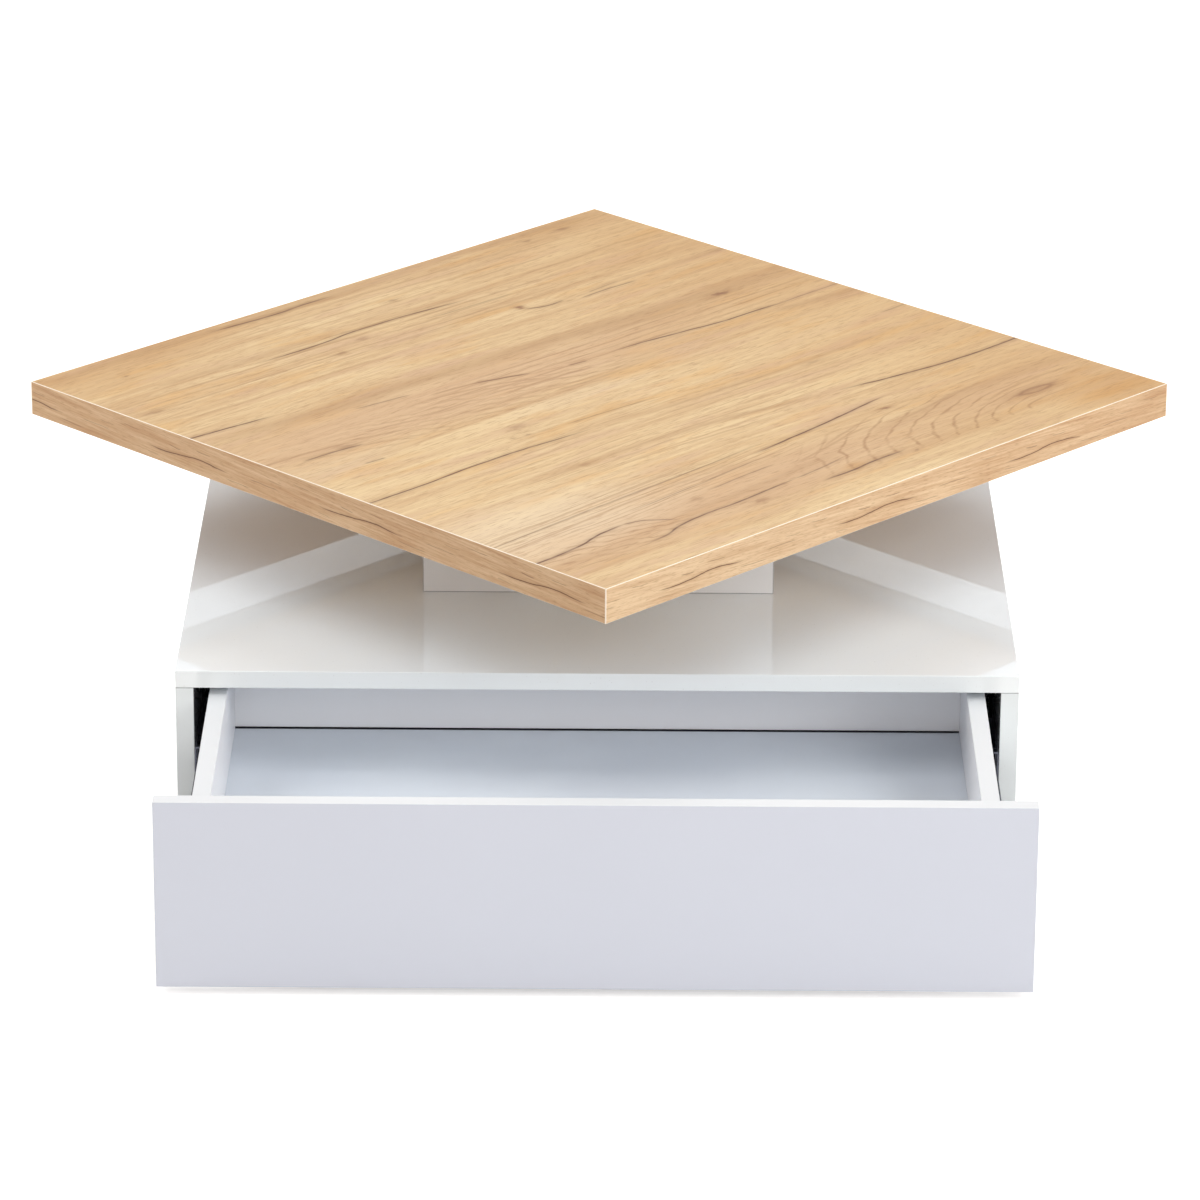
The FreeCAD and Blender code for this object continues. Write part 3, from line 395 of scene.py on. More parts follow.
# --- Finishes ---
def oak_print(colours):
    """Melamine paper printed as oak planks, pressed with a satin plate that follows the pores:
    flat, faintly streaked, with drawn cracks and knots and a low even sheen."""
    material, tree = new_material("oak_print_melamine", IOR=1.5)
    along, straight = axes(tree, millimetres(tree, TOP_TURN))[:2]
    wander = streaks(tree, along, straight, *WANDER)
    ripple = streaks(tree, along, straight, *RIPPLE)
    across = shifted(tree, shifted(tree, straight, wander, 14.0), ripple, 3.0)
    # Drawn details all start from these two, so that the renderer can work them out one by one:
    # it has room for only so many half-finished values.
    inked = shifted(tree, along, ripple, 2.4)
    drawn = shifted(tree, straight, ripple, 2.4)

    share = step(tree, shifted(tree, straight, wander, 9.0), -TOP_HALF, TOP_HALF, shape="LINEAR")
    tone = curve(tree, share, [((v + TOP_HALF) / (2 * TOP_HALF), level) for v, level in PLANK_TONES])

    # Broad clouds, then streaks from about 20 mm down to 1.5 mm, the finest that shows at arm's length.
    clouds, bands, fibres, pores = (streaks(tree, along, across, *field)
                                    for field in (CLOUDS, BANDS, FIBRES, PORES))
    level = shifted(tree, shifted(tree, shifted(tree, tone, clouds, 0.85), bands, 1.10), fibres, 1.00)
    colour = tinted(tree, colours.dark, colours.light, add_node(tree, "Clamp", {0: level}))
    # Warm flushes and pinkish grey ones, and the whole print a little riper towards one end.
    flush = step(tree, streaks(tree, along, across, *FLUSHES), 0.50, 0.72, 0.0, 0.62)
    colour = tinted(tree, colour, colours.amber, flush)
    blush = step(tree, streaks(tree, along, across, *BLUSHES), 0.50, 0.74, 0.0, 0.75)
    blush = patches(tree, inked, drawn, BLUSH_PATCHES, 0.3, 1.1, blush)
    colour = tinted(tree, colour, colours.blush, blush)
    ripe = step(tree, inked, 20, 380, 0.0, 0.36)
    ripe = patches(tree, inked, drawn, RIPE_PATCHES, 0.1, 1.3, ripe)
    ripe = product(tree, ripe, step(tree, bands, 0.30, 0.60, 0.55, 1.0))
    colour = tinted(tree, colour, colours.ripe, ripe)
    colour = tinted(tree, colour, colours.pale, patches(tree, inked, drawn, PALE_PATCHES, 0.2, 1.1))

    # Figure: straight lines, slanting lines and arches, each kept to its own part of the top.
    rows = calc(tree, "MULTIPLY_ADD", inked, ROW_SLOPE, across)
    slant = shifted(tree, calc(tree, "MULTIPLY_ADD", inked, SLANT_SLOPE, across), ripple, 16.0)
    arches = shifted(tree, from_spot(tree, inked, drawn, ARCH_CENTRE, ARCH_STRETCH), wander, 16.0)
    arches = shifted(tree, arches, ripple, 7.0)
    figure = None
    fields = {"rows": rows, "slant": slant, "arches": arches, "across": across}
    for field, spacing, thickness, centre, reach, strength in FIGURE:
        zone = step(tree, from_spot(tree, inked, drawn, centre, reach), 0.55, 1.0, strength, 0.0)
        mask = product(tree, grain_lines(tree, fields[field], spacing, thickness), zone)
        if field == "arches":
            mask = product(tree, mask, step(tree, drawn, ARCH_SEAM - 2, ARCH_SEAM + 1))
        figure = strongest(tree, figure, mask)
    fading = step(tree, streaks(tree, along, across, *FADING), 0.30, 0.60, 0.25, 1.0)
    figure = product(tree, figure, fading)
    figure = strongest(tree, figure, printed_lines(tree, inked, drawn, STROKES))
    colour = tinted(tree, colour, colours.line, figure)

    soft = printed_lines(tree, inked, across, SMEARS)
    colour = tinted(tree, colour, colours.smear, product(tree, soft, step(tree, bands, 0.30, 0.62, 0.45, 1.0)))
    colour = tinted(tree, colour, colours.line, step(tree, pores, 0.52, 0.70, 0.0, 0.44))

    # Knots are ragged blots in a wider stain, drawn out along the grain.
    ragged = streaks(tree, along, straight, *RAGS)
    eye = shifted(tree, from_spot(tree, inked, drawn, EYE, EYE_REACH), ragged, 0.5)
    # The eye is a dark ring round a paler core.
    ring, pith = step(tree, eye, 0.60, 1.35, 0.70, 0.0), step(tree, eye, 0.45, 0.80, 0.55, 0.0)
    knots = calc(tree, "SUBTRACT", ring, pith)
    stains = step(tree, eye, 0.8, 2.6, 0.5, 0.0)
    for u, v, reach_u, reach_v, darkness in KNOTS:
        gap = shifted(tree, from_spot(tree, inked, drawn, (u, v), (reach_u, reach_v)), ragged, 2.2)
        knots = strongest(tree, knots, step(tree, gap, 0.0, 1.0, darkness, 0.0))
        stains = strongest(tree, stains, step(tree, gap, 0.4, 2.2, 0.5 * darkness, 0.0))
    colour = tinted(tree, colour, colours.smear, stains)
    colour = tinted(tree, colour, colours.knot, knots)

    cracks = printed_lines(tree, inked, drawn, CRACKS, CRACK_HALO)
    worn = step(tree, streaks(tree, along, straight, *WEAR), 0.28, 0.55, 0.72, 1.0)
    cracks = product(tree, cracks, worn)
    colour = tinted(tree, colour, colours.crack, cracks)

    height = calc(tree, "SUBTRACT", 1.0, shifted(tree, cracks, pores, 0.5))
    return feed(material, Base_Color=colour, Normal=relief(tree, height, 0.35, 0.08),
                Roughness=sheen(tree, fibres, colours.roughness - 0.05, colours.roughness + 0.05))


def edge_strip(name, direction, start, tones, colours):
    """Printed ABS edge strip, ironed on and scraped: the oak print runs along it with the same
    crack once per turn of the printing roller, and its cut edges show the pale plastic inside.
    The tones are those at its two ends, 0 dark to 1 light; on the front strips they carry painted light and
    shade as well as the print's own tone."""
    material, tree = new_material(name, IOR=1.5, Specular_IOR_Level=0.35)
    place = millimetres(tree, TOP_TURN)
    up = axes(tree, place)[2]
    along = add_node(tree, "VectorMath", {0: place, 1: (*direction, 0)}, operation="DOT_PRODUCT")
    below = calc(tree, "SUBTRACT", TOP_SURFACE, up)
    slope = calc(tree, "MULTIPLY_ADD", along, STRIP_SLOPE, below)
    turn = calc(tree, "FLOORED_MODULO", calc(tree, "SUBTRACT", along, start), ROLLER)

    clouds, fibres, pores = (streaks(tree, along, slope, *field)
                             for field in (STRIP_CLOUDS, STRIP_FIBRES, STRIP_PORES))
    # Painted light and shade: the tone along the front strips is partly set by how the lamps fall on them.
    tone = step(tree, along, -TOP_HALF, TOP_HALF, *tones, shape="LINEAR")
    level = shifted(tree, shifted(tree, tone, clouds, 1.1), fibres, 1.4)
    colour = tinted(tree, colours.strip_dark, colours.strip_light, add_node(tree, "Clamp", {0: level}))
    colour = tinted(tree, colour, colours.line, step(tree, pores, 0.52, 0.72, 0.0, 0.45))
    drawn = shifted(tree, below, streaks(tree, along, below, *STRIP_WANDER), 1.6)
    shade = printed_lines(tree, turn, drawn, [(2.8, 0.45, STRIP_CRACKS[0][2])])
    colour = tinted(tree, colour, colours.smear, shade)
    colour = tinted(tree, colour, colours.crack, printed_lines(tree, turn, drawn, STRIP_CRACKS))

    # The strip's own plastic shows along its upper and lower edges and at its ends.
    rim = step(tree, below, 0.46, 0.22)
    rim = strongest(tree, rim, step(tree, up, RIM_UNDERSIDE + 0.5, RIM_UNDERSIDE + 0.2))
    end = calc(tree, "ABSOLUTE", along)
    rim = strongest(tree, rim, step(tree, end, TOP_HALF - 0.8, TOP_HALF - 0.5))
    colour = tinted(tree, colour, colours.cut_edge, rim)
    return feed(material, Base_Color=colour, Normal=relief(tree, fibres, 0.2, 0.05),
                Roughness=sheen(tree, fibres, 0.40, 0.52))


def facing(tree, way, colour, other):
    """The colour, with another one on faces that look a way: the number of an axis, and its sign."""
    axis, sign = way
    turned = axes(tree, coordinates(tree, "Normal"))[axis]
    return tinted(tree, colour, other, step(tree, turned, 0.5 * sign, 0.9 * sign))


def gloss_foil(name, plain, front, white, joint=None):
    """Board wrapped in white high-gloss foil: a clear hard skin that mirrors what stands on it,
    with a little dust and wiping haze, turned round softly rounded arrises.
    The front colour is that of its upright front face, a painted shade where it is darker than the plain
    colour; a joint is the height at which another board stands on it."""
    material, tree = new_material(name, Coat_IOR=white.coat_ior, **GLOSS)
    place = millimetres(tree)
    haze = mottle(tree, place, 140, 4.0, 0.6)
    dust = mottle(tree, place, 1.6, 0.0)
    # Faces that look to the front take the front colour; where it is darker than the plain colour, that is
    # painted shade.
    colour = facing(tree, FRONT, plain, front)
    colour = tinted(tree, colour, white.haze, step(tree, haze, 0.35, 0.70, 0.0, 0.05))
    colour = tinted(tree, colour, white.dust, step(tree, dust, 0.80, 0.86, 0.0, 0.35))
    if joint:
        up = axes(tree, place)[2]
        colour = tinted(tree, colour, white.joint, step(tree, up, joint - 0.7, joint - 0.3, 0.0, 0.5))
    return feed(material, Base_Color=colour, Roughness=sheen(tree, haze, 0.02, 0.04),
                Normal=arris(tree, ARRIS))


def pedestal_foil(white):
    """The same foil on the mitred pedestal boards: it is rolled under at the foot and at the corners,
    where a hair-thin dark joint shows."""
    material, tree = new_material("white_gloss_pedestal_foil", Coat_IOR=white.coat_ior,
                                  Roughness=0.03, **GLOSS)
    low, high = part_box("pedestal_front")
    foot, reach = low.z * PER_METRE, high.x * PER_METRE
    x, _, z = axes(tree, millimetres(tree))
    near, far = FOIL_JOINT
    joint = step(tree, z, foot + far, foot + near)
    joint = strongest(tree, joint, step(tree, calc(tree, "ABSOLUTE", x), reach - far, reach - near))
    # Painted light: the front face takes a lighter copy of the gloss white.
    colour = facing(tree, FRONT, white.gloss, white.pedestal)
    return feed(material, Base_Color=tinted(tree, colour, white.joint, product(tree, joint, 0.5)))


def satin_foil(name, plain, shade, front, top):
    """Board in white melamine with a fine pearl texture: soft sheen, no clear reflection.
    Its upright front face and its top faces may have colours of their own, darker copies of its white that are
    painted shade."""
    material, tree = new_material(name, IOR=1.5)
    place = millimetres(tree)
    # Pearl grain is really 0.3 mm; it is drawn at 1.2 mm so that it shows.
    pearl = mottle(tree, place, 1.2, 1.0)
    haze = mottle(tree, place, 90, 3.0)
    colour = tinted(tree, plain, shade, step(tree, haze, 0.35, 0.70))
    # Painted shade: faces that look to the front or up take their own darker colours.
    colour = facing(tree, UP, facing(tree, FRONT, colour, front), top)
    return feed(material, Base_Color=colour, Normal=relief(tree, pearl, 0.15, 0.05, arris(tree, ARRIS)),
                Roughness=sheen(tree, haze, 0.34, 0.44))


def lacquered_hardboard(white):
    """Thin hardboard with a pale cool lacquer on its face; a painted shadow darkens it in a line along the
    foot of the drawer's back, where the joint between them lies in shade."""
    material, tree = new_material("white_lacquered_hardboard", IOR=1.5)
    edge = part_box("drawer_back")[0].y * PER_METRE
    place = millimetres(tree)
    haze = mottle(tree, place, 110, 3.0)
    # Painted shadow: a dark line on the bottom along the foot of the drawer's back.
    gap_shadow = step(tree, axes(tree, place)[1], edge - 2.2, edge - 1.4)
    colour = tinted(tree, white.lacquer, white.lacquer_shade, step(tree, haze, 0.35, 0.70))
    return feed(material, Base_Color=tinted(tree, colour, white.joint, gap_shadow),
                Roughness=sheen(tree, haze, 0.36, 0.46))


def zinc_plate(name, tone, bloom):
    """Pressed steel, bright zinc plated: grey with a faint cool and warm bloom and rolling marks."""
    material, tree = new_material(name, Metallic=1.0)
    place = millimetres(tree)
    y, z = axes(tree, place)[1:]
    cells = add_node(tree, "TexVoronoi", {"Vector": place, "Scale": 1 / SPANGLE, "Randomness": 1.0})
    spangle = add_node(tree, "SeparateColor", {0: cells.node.outputs["Color"]})
    marks = streaks(tree, y, z, 40, 0.8, 2.0, 1.1)
    colour = tinted(tree, tone, bloom, step(tree, spangle, 0.0, 1.0, 0.0, 0.6))
    return feed(material, Base_Color=colour, Roughness=sheen(tree, marks, 0.22, 0.36),
                Normal=relief(tree, marks, 0.10, 0.02))


def polished_steel(metal):
    """Ground and polished ball steel: near mirror, a trace of running oil."""
    material, tree = new_material("polished_ball_steel", Metallic=1.0)
    film = mottle(tree, millimetres(tree), 1.5, 2.0)
    colour = tinted(tree, metal.steel, metal.oil, step(tree, film, 0.45, 0.75, 0.0, 0.35))
    return feed(material, Base_Color=colour, Roughness=sheen(tree, film, 0.06, 0.16))


def turned_aluminium(metal):
    """Extruded ring turned on a lathe: fine rings round the swivel axis that draw out the highlight."""
    material, tree = new_material("turned_aluminium", Metallic=1.0)
    place = millimetres(tree)
    flat = add_node(tree, "VectorMath", {0: place, 1: (1, 1, 0)}, operation="MULTIPLY")
    radius = add_node(tree, "VectorMath", {0: flat}, operation="LENGTH")
    height = axes(tree, place)[2]
    # Feed marks, really 0.1 mm apart, are drawn 0.6 mm apart so that they show.
    marks = streaks(tree, height, radius, 3, 0.6, 2.0, 0.7)
    colour = tinted(tree, metal.aluminium, metal.aluminium_shade, step(tree, marks, 0.35, 0.65))
    return feed(material, Base_Color=colour, Roughness=sheen(tree, marks, 0.26, 0.40),
                Normal=relief(tree, marks, 0.20, 0.03))


def planed_beech(fittings):
    """Planed beech: even pinkish tan with short darker flecks along the grain."""
    material, tree = new_material("planed_beech", IOR=1.5)
    x, y, z = axes(tree, millimetres(tree))
    radius = calc(tree, "ADD", x, y)
    rings = streaks(tree, z, radius, 60, 2.2, 2.0, 1.9)
    flecks = streaks(tree, z, radius, 3.2, 0.5, 1.0, 6.1)
    colour = tinted(tree, fittings.beech, fittings.beech_shade, step(tree, rings, 0.35, 0.68))
    colour = tinted(tree, colour, fittings.beech_fleck, step(tree, flecks, 0.60, 0.72, 0.0, 0.7))
    return feed(material, Base_Color=colour, Roughness=sheen(tree, rings, 0.50, 0.62),
                Normal=relief(tree, flecks, 0.2, 0.05))


def moulded_plastic(name, tone, shade, roughness):
    """Injection-moulded plastic: one colour with a spark-eroded matt skin and faint flow clouds."""
    material, tree = new_material(name, IOR=1.5, Subsurface_Weight=0.08, Subsurface_Scale=0.001)
    place = millimetres(tree)
    flow = mottle(tree, place, 12, 2.0)
    # Spark-eroded grain is really 0.05 mm; it is drawn at 0.4 mm so that it shows.
    grain = mottle(tree, place, 0.4, 1.0)
    colour = tinted(tree, tone, shade, step(tree, flow, 0.35, 0.70))
    return feed(material, Base_Color=colour, Normal=relief(tree, grain, 0.25, 0.03),
                Roughness=sheen(tree, grain, roughness - 0.05, roughness + 0.05))


def dress(material, nodes):
    """Give CAD nodes a material in all their slots."""
    for name in nodes:
        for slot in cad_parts[name].material_slots:
            slot.material = material


# --- What a user may change ---
def paint(name, description, hex_colour):
    return FloatVectorProperty(name=name, description=description, subtype="COLOR", size=4,
                               min=0.0, max=1.0, default=linear(hex_colour))


def metres(name, description, default, least):
    return FloatProperty(name=name, description=description, default=default, min=least, unit="LENGTH")


def factor(name, description, default):
    return FloatProperty(name=name, description=description, default=default, min=0.0)


class OakSettings(bpy.types.PropertyGroup):
    light: paint("Light", "Lightest grain of the oak print", "#DEC496")
    dark: paint("Dark", "Darkest plain grain of the oak print", "#BA9265")
    amber: paint("Amber", "Warm flushes in the grain", "#D2A86D")
    blush: paint("Blush", "Pinkish grey flushes in the grain", "#CCAA86")
    pale: paint("Pale", "Paler patches of the print", "#E2D0B2")
    ripe: paint("Ripe", "Deeper tone towards one end of the print", "#C19257")
    line: paint("Line", "Thin figure lines and pores", "#986C43")
    smear: paint("Smear", "Broad darker bands and stains round knots", "#A88058")
    knot: paint("Knot", "Knots", "#825533")
    crack: paint("Crack", "Drawn cracks", "#5A3010")
    strip_light: paint("Strip light", "Lightest grain of the edge strip", "#E1C59E")
    strip_dark: paint("Strip dark", "Darkest plain grain of the edge strip", "#BC9369")
    cut_edge: paint("Cut edge", "Plastic that shows along the strip's edges", "#F6EBD8")
    roughness: FloatProperty(name="Roughness", description="Mean roughness of the top", default=0.42,
                             min=0.0, max=1.0, subtype="FACTOR")


class WhiteSettings(bpy.types.PropertyGroup):
    gloss: paint("Gloss", "High-gloss foil", "#F4FAFD")
    # Painted shade: darker copies of the gloss foil on the top panel's front edge, on the side panels and on
    # their front edges, standing in for how the light falls on them.
    gloss_front_painted_shade: paint("Gloss front", "High-gloss foil on the top panel's front edge", "#F1F8F9")
    gloss_wall_painted_shade: paint("Gloss wall", "High-gloss foil on the side panels", "#E4E8EB")
    gloss_side_painted_shade: paint("Gloss side", "High-gloss foil on the side panels' front edges", "#E0E8E9")
    # Painted light: a lighter copy of the gloss white on the pedestal's front face.
    pedestal: paint("Pedestal", "High-gloss foil on the pedestal's front", "#FBFEFF")
    haze: paint("Haze", "Haze left by wiping", "#D8DCE2")
    # Painted shade: the drawer front's face is a darker, cooler copy of its white, standing in for the shade
    # that falls on it.
    front: paint("Front", "Drawer front's face", "#CED4DF")
    top_edge: paint("Top edge", "Drawer front's other faces", "#DFE3E6")
    satin: paint("Satin", "Satin melamine", "#FAFCFF")
    satin_shade: paint("Satin shade", "Satin melamine, darker clouds", "#F7F9FD")
    # Painted shade: a darker copy of the satin white on the tops of the drawer's sides, standing in for how the
    # light falls on them.
    satin_top_painted_shade: paint("Satin edge", "Edge tape on the tops of the drawer's sides", "#DDE1E4")
    # The lacquer is darker and cooler than the drawer's satin sides, partly as its own tone and partly as
    # painted shade.
    lacquer: paint("Lacquer", "Lacquer on the drawer's bottom", "#E0E7EF")
    lacquer_shade: paint("Lacquer shade", "Lacquer, darker clouds", "#DBE2EB")
    # Also used for the painted shadow along the foot of the drawer's back.
    joint: paint("Joint", "Shadowed joints and raw hardboard", "#2B2A33")
    dust: paint("Dust", "Specks of dust", "#BDBDBB")
    coat_ior: FloatProperty(name="Skin IOR", description="Refractive index of the gloss foil's skin",
                            default=1.5, min=1.0, max=2.0)


class MetalSettings(bpy.types.PropertyGroup):
    zinc: paint("Zinc", "Zinc plating", "#C3C7CA")
    zinc_warm: paint("Zinc bloom", "Warm bloom of the plating", "#BDB9AC")
    # Painted shade: the slides' zinc is drawn much darker than bright zinc, standing in for the shade in the
    # gaps beside the drawer.
    slide: paint("Slide", "Oiled plating of the drawer slides", "#6E717C")
    slide_shade: paint("Slide shade", "Bloom of the slides' plating", "#616470")
    steel: paint("Steel", "Polished ball steel", "#D0D2D4")
    oil: paint("Oil", "Trace of running oil", "#8F8672")
    aluminium: paint("Aluminium", "Turned aluminium", "#D6D8DA")
    aluminium_shade: paint("Aluminium shade", "Feed marks in the aluminium", "#B4B7BA")


class FittingSettings(bpy.types.PropertyGroup):
    beech: paint("Beech", "Planed beech", "#D8B58C")
    beech_shade: paint("Beech shade", "Late wood of the beech", "#C49A6E")
    beech_fleck: paint("Beech fleck", "Ray flecks of the beech", "#9A6E48")
    nylon: paint("Nylon", "Ball cage of the ring bearing", "#E9E6DC")
    nylon_shade: paint("Nylon shade", "Flow clouds in the nylon", "#DCD8CC")
    glide: paint("Glide", "Floor glides", "#E4E3DF")
    glide_shade: paint("Glide shade", "Flow clouds in the glides", "#D6D5D0")


class SlideSettings(bpy.types.PropertyGroup):
    sheet: metres("Sheet", "Thickness of the slides' steel", 0.0012, 0.0005)
    bend: metres("Bend", "Outer radius of the bends beside the web", 0.0018, 0.0002)
    lip_bend: metres("Lip bend", "Inner radius of the bends at the drawer member's lips", 0.0008, 0.0002)
    slot_length: metres("Slot length", "Length of the slots stamped in the webs", 0.060, 0.010)
    slot_height: metres("Slot height", "Height of the slots and width of the screw holes", 0.0066, 0.001)


class StageSettings(bpy.types.PropertyGroup):
    floor: paint("Floor", "Floor", "#F2F2F2")
    floor_lift: factor("Floor lift", "What the camera sees of the floor beyond its own light", 0.45)
    far_lift: factor("Far lift", "The same, beyond the reach of the lamps", 0.85)
    wall_tint: paint("Wall tint", "Colour of the light from the walls", "#FFD6BE")
    mirrored_room: paint("Mirrored room", "Colour of the walls in reflections", "#937D6E")
    walls: factor("Walls", "Strength of the light from the walls", 0.36)
    ceiling: factor("Ceiling", "Strength of the light from above", 0.45)
    light: factor("Light", "Strength of all softboxes together", 1.0)
    lens: FloatProperty(name="Lens", description="Focal length", default=184.06, min=1.0, unit="CAMERA")


# --- Steel slides ---
BEND_STEPS, SLOT_STEPS = 4, 5
SLOT_ROUNDING = 0.48            # of a slot's height; at a half its corners would meet


def rounded(form, geom, reach, steps, affect):
    """Round edges or corners over a reach, in so many steps."""
    bmesh.ops.bevel(form, geom=geom, offset=reach, offset_type="OFFSET", segments=steps, profile=0.5,
                    affect=affect, material=-1)


def rolled_channel(section, y_span, sheet, openings):
    """Channel rolled from sheet steel along Y, in section coordinates: X out from the board, Z up.

    The section follows one face of the sheet, which lies to its left: points, each with the radius
    of its bend. An opening in the web is its middle, its length and its height."""
    form = bmesh.new()
    corners = [form.verts.new((out, y_span[0], up)) for out, up, bend in section]
    edges = [form.edges.new(pair) for pair in zip(corners, corners[1:])]
    grown = bmesh.ops.extrude_edge_only(form, edges=edges)["geom"]
    ends = [item for item in grown if isinstance(item, bmesh.types.BMVert)]
    bmesh.ops.translate(form, verts=ends, vec=(0, y_span[1] - y_span[0], 0))
    for out, up, bend in section[1:-1]:
        fold = [edge for edge in form.edges
                if all(math.dist((vertex.co.x, vertex.co.z), (out, up)) < SAME_PLACE for vertex in edge.verts)]
        rounded(form, fold, bend, BEND_STEPS, "EDGES")

    web_out, web_edge, web_bend = section[len(section) // 2]
    flat = 2 * (abs(web_edge) - web_bend)
    for middle, length, height in openings:
        reach = (length + flat - height) / 2
        for cut in (middle - reach, middle + reach):
            bmesh.ops.bisect_plane(form, geom=form.verts[:] + form.edges[:] + form.faces[:],
                                   plane_co=(0, cut, 0), plane_no=(0, 1, 0))
    for middle, length, height in openings:
        spot = Vector((web_out, middle, 0))
        panel = min(form.faces, key=lambda face: (face.calc_center_median() - spot).length)
        bmesh.ops.inset_individual(form, faces=[panel], thickness=(flat - height) / 2)
        rounded(form, panel.verts[:], SLOT_ROUNDING * height, SLOT_STEPS, "VERTICES")
        panel = min(form.faces, key=lambda face: (face.calc_center_median() - spot).length)
        bmesh.ops.delete(form, geom=[panel], context="FACES_ONLY")
    bmesh.ops.solidify(form, geom=form.faces[:], thickness=sheet)
    return form


def add_object(name, data):
    """Object in the scene that shows the data."""
    made = bpy.data.objects.new(name, data)
    bpy.context.scene.collection.objects.link(made)
    return made


def add_mesh(form, name, material):
    """Object made of the form, which is used up."""
    mesh = bpy.data.meshes.new(name)
    form.to_mesh(mesh)
    form.free()
    mesh.materials.append(material)
    return add_object(name, mesh)


def place_piece(form, name, material, body, node):
    """Make an object of the form, which stands for a CAD node and rides on a body."""
    bmesh.ops.recalc_face_normals(form, faces=form.faces)
    piece = add_mesh(form, name, material)
    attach(piece, body)
    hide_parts(node)
    return piece


def studio_room(settings):
    """World: a white horizon and a broad ceiling that lights the table, between them dim walls, which
    light it warmly and which glossy surfaces mirror as the brown of a dark room."""
    room = bpy.data.worlds.new("room")
    room.use_nodes = True
    tree = room.node_tree
    rays = add_node(tree, "LightPath").node.outputs
    looking = calc(tree, "MAXIMUM", rays["Is Camera Ray"], rays["Is Transmission Ray"])
    up = axes(tree, coordinates(tree, "Generated"))[2]
    above_horizon, above_walls = (step(tree, up, *(math.sin(math.radians(angle)) for angle in limits))
                                  for limits in (HORIZON, WALL_TOP))
    white = (1.0, 1.0, 1.0, 1.0)
    light = [channel * settings.walls for channel in settings.wall_tint]
    ceiling = [settings.ceiling] * 3 + [1.0]
    low = tinted(tree, light, white, rays["Is Glossy Ray"])
    walls = tinted(tree, light, settings.mirrored_room, rays["Is Glossy Ray"])
    colour = tinted(tree, low, walls, above_horizon)
    colour = tinted(tree, colour, ceiling, above_walls)
    tree.links.new(tinted(tree, colour, white, looking), tree.nodes["Background"].inputs["Color"])
    return room


def stage_floor(settings):
    """Pale floor that keeps the table's shadow and reads white where nothing shades it."""
    material, tree = new_material("floor_paint", Base_Color=settings.floor, Roughness=0.9,
                                  Specular_IOR_Level=0.0, Emission_Color=(1, 1, 1, 1))
    rays = add_node(tree, "LightPath").node.outputs
    seen = calc(tree, "MAXIMUM", rays["Is Camera Ray"], rays["Is Glossy Ray"])
    seen = calc(tree, "MAXIMUM", seen, rays["Is Transmission Ray"])
    # Beyond the lamps' reach the floor is lifted further, so that it is one white to the horizon.
    reach = add_node(tree, "VectorMath", {0: coordinates(tree, "Object")}, operation="LENGTH")
    lift = step(tree, reach, *LAMP_REACH, settings.floor_lift, settings.far_lift)
    feed(material, Emission_Strength=product(tree, seen, lift))
    form = bmesh.new()
    bmesh.ops.create_grid(form, x_segments=1, y_segments=1, size=FLOOR_HALF)
    add_mesh(form, "floor", material)


def softbox(name, place, size, power, mirrored):
    """Square area lamp that points at the middle of the table. One that isn't mirrored lights the
    table without a highlight of its own, so that seen from behind it doesn't bleach the satin top."""
    lamp = bpy.data.lights.new(name, "AREA")
    lamp.energy = power
    lamp.shape = "SQUARE"
    lamp.size = size
    holder = add_object(name, lamp)
    holder.location = place
    holder.rotation_euler = (Vector(AIM) - Vector(place)).to_track_quat("-Z", "Y").to_euler()
    holder.visible_glossy = mirrored


# --- Operators ---
class SWIVELTABLE_OT_stage(bpy.types.Operator):
    """Camera, floor, room light and softboxes"""
    bl_idname = "swiveltable.stage"
    bl_label = "Stage"

    CAMERA_PLACE = (0.01004, -5.04349, 2.08561)
    CAMERA_TURN = math.radians(-0.0985)     # clockwise from looking along +Y
    CAMERA_TILT = math.radians(-21.4353)    # below the horizon
    CAMERA_ROLL = math.radians(0.3396)
    # Name, place, side, power at a light setting of 1, and whether it is mirrored.
    SOFTBOXES = [
        ("key", (0.0, -1.2, 3.0), 1.8, 18.5, True),
        ("front", (0.0, -3.8, 1.4), 1.6, 15.0, False),
        ("right_front", (2.7, -2.7, 2.0), 1.7, 54.5, False),
        ("left_high", (-2.6, 0.0, 2.8), 1.8, 46.5, True),
        ("right_high", (2.6, 0.0, 2.8), 1.8, 30.5, True),
        ("back_high", (0.0, 2.2, 3.0), 1.8, 22.5, True),
    ]

    def execute(self, context):
        settings = context.scene.swiveltable_stage
        scene = context.scene
        scene.view_settings.view_transform = "Standard"
        camera = add_object("camera", bpy.data.cameras.new("camera"))
        camera.data.lens = settings.lens
        camera.data.sensor_width = 36.0
        camera.data.clip_end = 100.0
        aim = (Matrix.Rotation(-self.CAMERA_TURN, 4, "Z")
               @ Matrix.Rotation(math.pi / 2 + self.CAMERA_TILT, 4, "X")
               @ Matrix.Rotation(self.CAMERA_ROLL, 4, "Z"))
        camera.matrix_world = Matrix.Translation(self.CAMERA_PLACE) @ aim
        scene.camera = camera

        scene.world = studio_room(settings)
        stage_floor(settings)
        for name, place, size, power, mirrored in self.SOFTBOXES:
            softbox(name, place, size, power * settings.light, mirrored)
        return {"FINISHED"}


